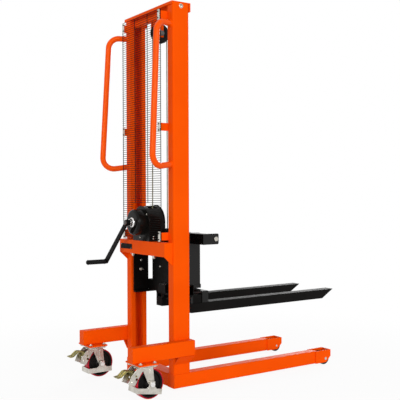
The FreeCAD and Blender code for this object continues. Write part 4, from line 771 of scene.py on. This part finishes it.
def box_blank(size, place):
    """A plain box with its middle at a place, to be shaped further."""
    bpy.ops.object.select_all(action="DESELECT")
    bpy.ops.mesh.primitive_cube_add(size=1, location=place)
    piece = bpy.context.object
    piece.scale = size
    bpy.ops.object.transform_apply()
    return piece


strap = box_blank((STRAP_WIDE, STRAP_TALL, STRAP_PLATE), (0, 0, 0))
lug_start = LUG_FROM - STRAP_WIDE / 2
for cut in (-LUG_HIGH, -LUG_LOW, LUG_LOW, LUG_HIGH):
    cut_across(strap, (0, cut, 0), (0, 1, 0))
cut_across(strap, (lug_start, 0, 0), (1, 0, 0))
choose(strap, "FACE", lambda face: (
    face.normal.z < -FACING and face.center.x > lug_start
    and LUG_LOW < abs(face.center.y) < LUG_HIGH))
bpy.ops.mesh.extrude_region_move(TRANSFORM_OT_translate={"value": (0, 0, -LUG_TALL)})
bpy.ops.object.mode_set(mode="OBJECT")
ease_edges(strap, STRAP_EASE)
straps = []
for side_name, side in SIDES:
    for level in strap_levels:
        pick(strap)
        bpy.ops.object.duplicate()
        copy = bpy.context.object
        copy.rotation_euler = Matrix(((0, 0, -1), (side, 0, 0), (0, -side, 0))).to_euler()
        copy.location = (clip_low.x + STRAP_PLATE / 2, side * (STRAP_IN + STRAP_WIDE / 2), level)
        bpy.ops.object.transform_apply()
        bpy.ops.object.mode_set(mode="EDIT")
        bpy.ops.mesh.select_all(action="SELECT")
        bpy.ops.mesh.normals_make_consistent(inside=False)
        bpy.ops.object.mode_set(mode="OBJECT")
        straps.append(copy)
fit(joined(straps), "guard_straps", zinc, "frame", "zinc", "guard_clips")
bpy.data.objects.remove(strap)
screw = pan_head(radius=0.0042, height=0.0026)
screws = [
    set_copy(screw, (clip_low.x, side * (STRAP_IN + SCREW_IN), level + up), REARWARD)
    for side_name, side in SIDES for level in strap_levels for up in STRAP_SCREWS
]
fit(joined(screws), "guard_screws", black, "frame", "black_paint")
bpy.data.objects.remove(screw)

# Handles: steel tubes bent once near each end, splayed outwards and welded to the masts' rear
# faces. Their coat lies smoother on the round tube and is polished by hands.
smooth_orange = new_finish(
    "polished_orange_coat",
    skin_group,
    colours={"Paint": (0.90, 0.088, 0.0010), "Thick paint": (0.86, 0.080, 0.0008)},
    values={"Smooth": 0.16, "Dull": 0.24},
    height=0.05,
    plain={"Specular IOR Level": 0.16, "Specular Tint": (1, 0.65, 0.4, 1)},
)
HANDLE_EASE = 0.0005
for side_name, side in SIDES:
    eased_copy(f"handle_{side_name}", HANDLE_EASE, f"push_handle_{side_name}", smooth_orange,
               "orange_paint")

# Weld seams: rippled steel beads where the frame's tubes and plates meet, and fillets round
# the handles' roots, laid before coating and painted with the frame.
WELD_R = 0.0024
ROOT_FILLET = [
    (-0.0005, 0.0140), (-0.0005, 0.0205), (0.0016, 0.0190),
    (0.0030, 0.0172), (0.0050, 0.0160), (0.0050, 0.0140),
]
ROOT_Y = 0.226
ROOT_LEVELS = (1.868, 1.156)


def weld_bead(start, end):
    """A rippled weld bead along a line."""
    run = Vector(end) - Vector(start)
    number = max(2, round(run.length / (WELD_R * 0.9)))
    bpy.ops.object.select_all(action="DESELECT")
    bpy.ops.mesh.primitive_uv_sphere_add(segments=8, ring_count=6, radius=WELD_R, location=start)
    bead = bpy.context.object
    bead.rotation_euler = run.to_track_quat("Z", "Y").to_euler()
    bead.scale = (1, 1, 0.8)
    bpy.ops.object.transform_apply()
    repeat_along(bead, number, run / (number - 1))
    bpy.ops.object.shade_smooth()
    return bead


leg_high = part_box("leg_left")[1]
base_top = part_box("base_crossbeam")[1].z
out_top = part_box("outrigger_left")[1].z
OUT_TALL = 0.078
FOOT_LOW = 0.016
FOOT_HIGH = 0.082
FOOT_Y = 0.1905
BASE_END_Y = 0.190
BASE_END_X = (MAST_REAR + 0.003, MAST_REAR + 0.077)
LEG_JOINT_X = MAST_X + 0.145
LEG_JOINT_Y = leg_high.y - 0.0016
GUSSET_Y = 0.2375
GUSSET_TALL = 0.070
SIDE_REAR = MAST_REAR + 0.002
SIDE_FRONT = MAST_FRONT - 0.006
beads = []
for side_name, side in SIDES:
    inner = side * (MAST_IN + FOLD)
    outer = side * (MAST_OUT - FOLD)
    for x in (MAST_REAR, MAST_FRONT):
        beads.append(weld_bead((x, inner, leg_high.z), (x, outer, leg_high.z)))
    out_y = side * MAST_OUT
    for z in (out_top, out_top - OUT_TALL):
        beads.append(weld_bead((SIDE_REAR, out_y, z), (SIDE_FRONT, out_y, z)))
    foot_y = side * FOOT_Y
    beads.append(weld_bead((MAST_REAR, foot_y, FOOT_LOW), (MAST_REAR, foot_y, base_top)))
    base_y = side * BASE_END_Y
    beads.append(weld_bead((BASE_END_X[0], base_y, base_top), (BASE_END_X[1], base_y, base_top)))
    joint_y = side * LEG_JOINT_Y
    beads.append(weld_bead((LEG_JOINT_X, joint_y, FOOT_LOW), (LEG_JOINT_X, joint_y, FOOT_HIGH)))
    for root_z in ROOT_LEVELS:
        beads.append(turned(ROOT_FILLET, (MAST_REAR, side * ROOT_Y, root_z), REARWARD, steps=24))
    gusset_y = side * GUSSET_Y
    beads.append(weld_bead((MAST_REAR, gusset_y, beam_high.z - GUSSET_TALL),
                           (MAST_REAR, gusset_y, beam_high.z)))
fit(joined(beads), "weld_seams", orange, "frame", "orange_paint")

# Hoist rope: six strands of galvanised wire laid round each other, from the drum over the
# sheave to the carriage. The front fall shortens as the carriage rises, so it is made twice.
STRAND_R = 0.00105
LAY_R = 0.00195
LAY_PITCH = 0.040
ARC_HANDLE = 0.5523
SHEAVE_RUN = 0.15
RISE_BACK = 0.1
RISE_ON = 0.4
LOWER_SHARE = 0.97


def laid_rope(length, thinner=1.0):
    """Six strands laid round each other, standing on the origin."""
    bpy.ops.object.select_all(action="DESELECT")
    bpy.ops.mesh.primitive_circle_add(vertices=6, radius=STRAND_R * thinner,
                                      location=(LAY_R * thinner, 0, 0))
    rope = bpy.context.object
    bpy.ops.object.transform_apply()
    bpy.ops.object.mode_set(mode="EDIT")
    bpy.ops.mesh.select_all(action="SELECT")
    bpy.ops.mesh.spin(steps=6, angle=math.tau, center=(0, 0, 0), axis=(0, 0, 1), dupli=True)
    bpy.ops.mesh.select_all(action="SELECT")
    bpy.ops.mesh.remove_doubles(threshold=MERGE_GAP)
    bpy.ops.object.mode_set(mode="OBJECT")
    turns = round(length / LAY_PITCH)
    screw_swept(rope, "Z", length / turns, turns, steps=10)
    return rope


rope_low, rope_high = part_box("hoist_rope")
sheave_low, sheave_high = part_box("sheave")
SHEAVE = (sheave_low + sheave_high) / 2
WRAP_R = rope_high.x - ROPE_R - SHEAVE.x
ROUND = WRAP_R * ARC_HANDLE
drum_end = Vector((rope_low.x + ROPE_R, rope_low.y + ROPE_R, WINCH_Z))
rear_top = SHEAVE - Vector((WRAP_R, 0, 0))
front_top = SHEAVE + Vector((WRAP_R, 0, 0))
crest = SHEAVE + Vector((0, 0, WRAP_R))
rise = rear_top - drum_end
knots = [
    (drum_end, drum_end - rise * RISE_BACK, drum_end + rise * RISE_ON),
    (rear_top, rear_top - Vector((0, 0, SHEAVE_RUN)), rear_top + Vector((0, 0, ROUND))),
    (crest, crest - Vector((ROUND, 0, 0)), crest + Vector((ROUND, 0, 0))),
    (front_top, front_top + Vector((0, 0, ROUND)), front_top - Vector((0, 0, ROUND))),
]
bpy.ops.object.select_all(action="DESELECT")
bpy.ops.curve.primitive_bezier_curve_add()
route = bpy.context.object
route.data.dimensions = "3D"
route.data.twist_mode = "MINIMUM"
route.data.resolution_u = 48
route.data.use_stretch = True
route.data.use_deform_bounds = True
bends = route.data.splines[0].bezier_points
bends.add(len(knots) - len(bends))
for bend, (place, before, after) in zip(bends, knots):
    bend.handle_left_type = bend.handle_right_type = "FREE"
    bend.co, bend.handle_left, bend.handle_right = place, before, after
rope = laid_rope(rise.length + math.pi * WRAP_R)
follow = rope.modifiers.new("follow", "CURVE")
follow.object = route
follow.deform_axis = "POS_Z"
pick(rope)
bpy.ops.object.modifier_apply(modifier="follow")
bpy.data.objects.remove(route)
fit(rope, "rope_rise", rope_steel, "frame", "wire_rope", "hoist_rope")

fall_low, fall_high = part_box("rope_front_fall")
FALL_LONG = fall_high.z - fall_low.z
for fall_name, body, thinner, end, nodes in (
    ("rope_fall", "frame", 1.0, fall_high.z, ("rope_front_fall",)),
    ("rope_fall_lower", "carriage", LOWER_SHARE, fall_low.z, ()),
):
    fall = laid_rope(FALL_LONG, thinner)
    fall.location = (front_top.x, 0, fall_low.z)
    bpy.ops.object.transform_apply()
    fit(fall, fall_name, rope_steel, body, "wire_rope", *nodes)
    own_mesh(fall)

# Carriage: black-coated side plates that run in the masts on steel rollers, a rear bar, the
# front frame of box sections with its two arms, the rope's anchor plate and the two forks.
RAIL_ROLLER_EASE = 0.0006
FORK_EASE = 0.0018
BAR_ROUND = 0.008
BAR_LONG = 0.1
for side_name, side in SIDES:
    eased_copy(f"carriage_plate_{side_name}", SHEET_EASE, f"side_plate_{side_name}", black,
               "black_paint")
    for level in ("lower", "upper"):
        eased_copy(f"rail_roller_{level}_{side_name}", RAIL_ROLLER_EASE,
                   f"mast_roller_{level}_{side_name}", steel, "steel")
    eased_copy(f"fork_{side_name}", FORK_EASE, f"fork_arm_{side_name}", black, "black_paint")
eased_copy("rail_roller_pins", BOLT_EASE, "mast_roller_pins", black, "steel")
bar_low, bar_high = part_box("carriage_rear_bar")
bar = merged_copy("carriage_rear_bar")
round_edges(bar, radius=BAR_ROUND, steps=5, chosen=lambda a, b: abs(a.y - b.y) > BAR_LONG and all(
    min(abs(end.x - bar_low.x), abs(end.x - bar_high.x)) < NEAR
    and min(abs(end.z - bar_low.z), abs(end.z - bar_high.z)) < NEAR for end in (a, b)))
ease_edges(bar, SHEET_EASE)
fit(bar, "rear_bar", black, "carriage", "black_paint", "carriage_rear_bar")
satin_black = new_finish(
    "satin_black_coat",
    skin_group,
    colours={"Paint": (0.0024, 0.0020, 0.0017), "Thick paint": (0.0038, 0.0032, 0.0028)},
    values={"Smooth": 0.20, "Dull": 0.30},
    height=0.08,
    plain={"Specular IOR Level": 0.27},
)
eased_copy("carriage_frame", BEAM_EASE, "front_frame", satin_black, "black_paint")
eased_copy("rope_anchor", SHEET_EASE, "rope_lug", black, "black_paint")
eased_copy("arm_bolts", PIN_EASE, "backrest_bolts", zinc, "black_paint")
side_low, side_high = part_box("carriage_plate_left")
lug_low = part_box("rope_anchor")[0]
BOLT_UP = 0.126
SCREW_UP = 0.176
CENTRE_SCREW = (lug_low.x, 0.040, 0.608)
bolt_x = MAST_X + 0.0047
bolt_y = side_high.y - 0.008
bolt = hex_bolt(flats=0.010, height=0.009, stub=0.026)
screw = pan_head(radius=0.0060, height=0.0040)
bolts = [
    set_copy(model, (bolt_x, side * bolt_y, side_low.z + up), (0, -side, 0))
    for model, up in ((bolt, BOLT_UP), (screw, SCREW_UP)) for side_name, side in SIDES
]
bolts.append(set_copy(screw, CENTRE_SCREW, REARWARD))
fit(joined(bolts), "carriage_bolts", zinc, "carriage", "zinc")
bpy.data.objects.remove(bolt)
bpy.data.objects.remove(screw)
BLOCK_LONG = 0.034
BLOCK_WIDE = 0.072
BLOCK_TALL = 0.048
BLOCK_Y = -0.030
BLOCK_Z = 0.499
BLOCK_ROUND = 0.010
block_x = lug_low.x - BLOCK_LONG / 2
block = box_blank((BLOCK_LONG, BLOCK_WIDE, BLOCK_TALL), (block_x, BLOCK_Y, BLOCK_Z))
round_edges(block, radius=BLOCK_ROUND, steps=5, chosen=lambda a, b: min(a.z, b.z) > BLOCK_Z)
ease_edges(block, ARM_EASE)
fit(block, "lug_block", black, "carriage", "black_paint")
# The block's upward faces take the machined steel finish, which is a painted highlight on its top.
block.data.materials.append(steel)
for face in block.data.polygons:
    face.material_index = int(face.normal.z > 0.6)
fork_low, fork_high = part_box("fork_left")
HEEL_LONG = 0.068
HEEL_WIDE = 0.056
HEEL_Y = 0.149
HEEL_SUNK = 0.001
HEEL_ROUND = 0.003
heel_x = fork_low.x + HEEL_LONG / 2
heel_z = (fork_high.z + bar_low.z) / 2
heel_tall = bar_low.z - fork_high.z + 2 * HEEL_SUNK
heels = []
for side_name, side in SIDES:
    heel = box_blank((HEEL_LONG, HEEL_WIDE, heel_tall), (heel_x, side * HEEL_Y, heel_z))
    round_edges(heel, radius=HEEL_ROUND, steps=3,
                chosen=lambda a, b: abs(a.z - b.z) > heel_tall / 2)
    bpy.ops.object.shade_smooth_by_angle(angle=SOFT_TURN)
    heels.append(heel)
fit(joined(heels), "fork_heels", black, "carriage", "black_paint")

# Casters: pressed swivel forks, plated bright, with a welded foot guard, wheels with a black
# core in a red polyurethane tread, and a yellow-plated brake pedal with two pressed ribs.
red_tread = new_finish(
    "red_polyurethane",
    skin_group,
    colours={"Paint": (0.50, 0.0040, 0.022), "Thick paint": (0.42, 0.0032, 0.018)},
    values={"Smooth": 0.3, "Dull": 0.45},
    height=0.1,
    plain={"Specular IOR Level": 0.25},
)
yellow_zinc = new_finish(
    "yellow_zinc",
    plate_group,
    colours={"Metal": (0.34, 0.29, 0.10), "Stain": (0.15, 0.14, 0.06)},
    values={"Bright": 0.2, "Dull": 0.36},
    height=0.15,
    plain={"Metallic": 1},
)
TREAD_HALF = [
    (0.015, 0.0760), (0.0205, 0.0757), (0.0236, 0.0742),
    (0.0250, 0.0722), (0.0250, 0.0700), (0.0235, 0.0690),
]
CORE_HALF = [
    (0.0235, 0.0692), (0.0240, 0.0620), (0.0225, 0.0600), (0.0150, 0.0575),
    (0.0125, 0.0555), (0.0125, 0.0340), (0.0150, 0.0318), (0.0240, 0.0292),
    (0.0290, 0.0255), (0.0305, 0.0235), (0.0305, 0.0085),
]
CREASE_OUTLINE = [(0, 0), (0.005, 0.0016), (0.060, 0.0016), (0.066, 0)]
CREASE_X = MAST_X - 0.2245
CREASE_Z = 0.089
FORK_RIVET = (MAST_X - 0.3215, 0.100)
FORK_HOLE = (MAST_X - 0.298, 0.110)
HOLE_R = 0.0065
DRILL_LONG = 0.1
FORK_FACE = 0.036
PEDAL_RIBS = (-0.012, 0.012)
PEDAL_EASE = 0.0005
PEDAL_TOP = 0.12
RIB_HALF = 0.004
RIB_SHORT = 0.004
RIB_TALL = 0.0025


def both_halves(half):
    """A whole outline from its half, given from the middle to the outer side."""
    return [(-length, radius) for length, radius in reversed(half)] + half


eased_copy("caster_top_plates", BOLT_EASE, "swivel_plates", zinc, "zinc")
eased_copy("caster_bolts", SMALL_EASE, "mount_bolts", zinc, "zinc")
rivet = pan_head(radius=0.0072, height=0.0045)
for side_name, side in SIDES:
    body = f"caster_{side_name}"
    bracket_low, bracket_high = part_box(f"caster_fork_{side_name}")
    middle = (bracket_low.y + bracket_high.y) / 2
    bracket = merged_copy(f"caster_fork_{side_name}")
    bpy.ops.object.select_all(action="DESELECT")
    bpy.ops.mesh.primitive_cylinder_add(
        vertices=24, radius=HOLE_R, depth=DRILL_LONG, rotation=(math.radians(90), 0, 0),
        location=(FORK_HOLE[0], middle, FORK_HOLE[1]))
    drill = bpy.context.object
    bpy.ops.object.transform_apply()
    pick(bracket)
    hole = bracket.modifiers.new("hole", "BOOLEAN")
    hole.object = drill
    hole.solver = "EXACT"
    bpy.ops.object.modifier_apply(modifier="hole")
    bpy.data.objects.remove(drill)
    ease_edges(bracket, SMALL_EASE)
    fit(bracket, f"swivel_fork_{side_name}", zinc, body, "zinc", f"caster_fork_{side_name}")
    trims = []
    for way in (1, -1):
        face_y = middle + way * FORK_FACE
        trims.append(set_copy(rivet, (FORK_RIVET[0], face_y, FORK_RIVET[1]), (0, way, 0)))
        trims.append(turned(CREASE_OUTLINE, (CREASE_X, face_y, CREASE_Z), (0, 0, 1), steps=12))
    fit(joined(trims), f"fork_trim_{side_name}", zinc, body, "zinc")
    eased_copy(f"caster_axle_{side_name}", PIN_EASE, f"wheel_axle_{side_name}", chrome, "zinc")
    eased_copy(f"foot_guard_{side_name}", BOLT_EASE, f"toe_guard_{side_name}", zinc, "zinc")
    wheel_low, wheel_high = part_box(f"caster_wheel_{side_name}")
    hub = (wheel_low + wheel_high) / 2
    core = turned(both_halves(CORE_HALF), hub, (0, 1, 0), steps=64)
    fit(core, f"wheel_core_{side_name}", cast_black, f"wheel_{side_name}", "black_rubber",
        f"caster_wheel_{side_name}")
    tread = turned(both_halves(TREAD_HALF), hub, (0, 1, 0), steps=64)
    fit(tread, f"wheel_tread_{side_name}", red_tread, f"wheel_{side_name}", "red_tread")
    pedal = merged_copy(f"brake_pedal_{side_name}")
    rib_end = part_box(f"brake_pedal_{side_name}")[0].x + RIB_SHORT
    rib_lines = [hub.y + rib for rib in PEDAL_RIBS]
    for line in rib_lines:
        cut_across(pedal, (0, line - RIB_HALF, 0), (0, 1, 0))
        cut_across(pedal, (0, line + RIB_HALF, 0), (0, 1, 0))
    cut_across(pedal, (rib_end, 0, 0), (1, 0, 0))
    choose(pedal, "FACE", lambda face: (
        face.normal.z > 0.25 and face.center.z > PEDAL_TOP and face.center.x > rib_end
        and min(abs(face.center.y - line) for line in rib_lines) < RIB_HALF))
    bpy.ops.mesh.extrude_region_shrink_fatten(TRANSFORM_OT_shrink_fatten={"value": RIB_TALL})
    bpy.ops.object.mode_set(mode="OBJECT")
    ease_edges(pedal, PEDAL_EASE)
    fit(pedal, f"foot_brake_{side_name}", yellow_zinc, f"pedal_{side_name}", "yellow_zinc",
        f"brake_pedal_{side_name}")
bpy.data.objects.remove(rivet)

# Studio: a white floor that fades into a white surround, soft lamps at a plain level, and
# the camera where the photograph was taken from.
FLOOR_SIZE = 80
FLOOR_WHITE = 0.9
FADE_FROM = 0.9
FADE_TO = 2.4
NEAR_GLOW = 0.92
SKY_LIGHT = 0.5


def larger(tree, first, second):
    """The larger of two values."""
    node = tree.nodes.new("ShaderNodeMath")
    node.operation = "MAXIMUM"
    tree.links.new(first, node.inputs[0])
    tree.links.new(second, node.inputs[1])
    return node.outputs[0]


bpy.ops.object.select_all(action="DESELECT")
bpy.ops.mesh.primitive_plane_add(size=FLOOR_SIZE)
floor = bpy.context.object
floor.name = "floor"
floor_finish = bpy.data.materials.new("white_floor")
floor_finish.use_nodes = True
tree = floor_finish.node_tree
shader = tree.nodes["Principled BSDF"]
shader.inputs["Base Color"].default_value = (FLOOR_WHITE, FLOOR_WHITE, FLOOR_WHITE, 1)
shader.inputs["Roughness"].default_value = 0.9
shader.inputs["Specular IOR Level"].default_value = 0
glow = tree.nodes.new("ShaderNodeEmission")
rays = tree.nodes.new("ShaderNodeLightPath")
seen = larger(tree, rays.outputs["Is Camera Ray"], rays.outputs["Is Glossy Ray"])
place = tree.nodes.new("ShaderNodeTexCoord")
away = tree.nodes.new("ShaderNodeVectorMath")
away.operation = "LENGTH"
tree.links.new(place.outputs["Object"], away.inputs[0])
fade = tree.nodes.new("ShaderNodeMapRange")
fade.interpolation_type = "SMOOTHSTEP"
fade.inputs["From Min"].default_value = FADE_FROM
fade.inputs["From Max"].default_value = FADE_TO
fade.inputs["To Min"].default_value = NEAR_GLOW
fade.inputs["To Max"].default_value = 1
tree.links.new(away.outputs["Value"], fade.inputs["Value"])
whiten = tree.nodes.new("ShaderNodeMath")
whiten.operation = "MULTIPLY"
tree.links.new(seen, whiten.inputs[0])
tree.links.new(fade.outputs["Result"], whiten.inputs[1])
mix = tree.nodes.new("ShaderNodeMixShader")
tree.links.new(whiten.outputs[0], mix.inputs["Fac"])
tree.links.new(shader.outputs["BSDF"], mix.inputs[1])
tree.links.new(glow.outputs["Emission"], mix.inputs[2])
tree.links.new(mix.outputs["Shader"], tree.nodes["Material Output"].inputs["Surface"])
floor.data.materials.append(floor_finish)

world = bpy.data.worlds.new("studio")
bpy.context.scene.world = world
world.use_nodes = True
tree = world.node_tree
sky = tree.nodes["Background"]
sky.inputs["Color"].default_value = (1, 1, 1, 1)
sky.inputs["Strength"].default_value = SKY_LIGHT
plain = tree.nodes.new("ShaderNodeBackground")
plain.inputs["Color"].default_value = (1, 1, 1, 1)
plain.inputs["Strength"].default_value = 1
rays = tree.nodes.new("ShaderNodeLightPath")
seen = larger(tree, rays.outputs["Is Camera Ray"], rays.outputs["Is Glossy Ray"])
through = larger(tree, seen, rays.outputs["Is Transmission Ray"])
mix = tree.nodes.new("ShaderNodeMixShader")
tree.links.new(through, mix.inputs["Fac"])
tree.links.new(sky.outputs["Background"], mix.inputs[1])
tree.links.new(plain.outputs["Background"], mix.inputs[2])
tree.links.new(mix.outputs["Shader"], tree.nodes["World Output"].inputs["Surface"])

for lamp_name, aim, strength, softness in (
    ("key_lamp", (0.78, 0.60, -0.14), 0.95, 16),
    ("side_lamp", (-0.02, 0.95, -0.30), 1.05, 24),
    ("front_lamp", (-0.75, -0.55, -0.36), 1.2, 30),
):
    lamp = bpy.data.lights.new(lamp_name, "SUN")
    lamp.energy = strength
    lamp.angle = math.radians(softness)
    holder = bpy.data.objects.new(lamp_name, lamp)
    holder.rotation_euler = Vector(aim).to_track_quat("-Z", "Y").to_euler()
    bpy.context.scene.collection.objects.link(holder)

bpy.context.scene.view_settings.view_transform = "Standard"
camera_data = bpy.data.cameras.new("camera")
camera_data.lens = 65.58
camera_data.sensor_width = 36
camera = bpy.data.objects.new("camera", camera_data)
camera.location = (-2.3805, -3.371, 1.002)
pan = Matrix.Rotation(math.radians(-34.24), 3, "Z")
tilt = Matrix.Rotation(math.radians(89.53), 3, "X")
roll = Matrix.Rotation(math.radians(-0.22), 3, "Z")
camera.rotation_euler = (pan @ tilt @ roll).to_euler()
bpy.context.scene.collection.objects.link(camera)
bpy.context.scene.camera = camera

# Finally the view layer is brought up to date, so that every piece stands in its place.
bpy.context.view_layer.update()
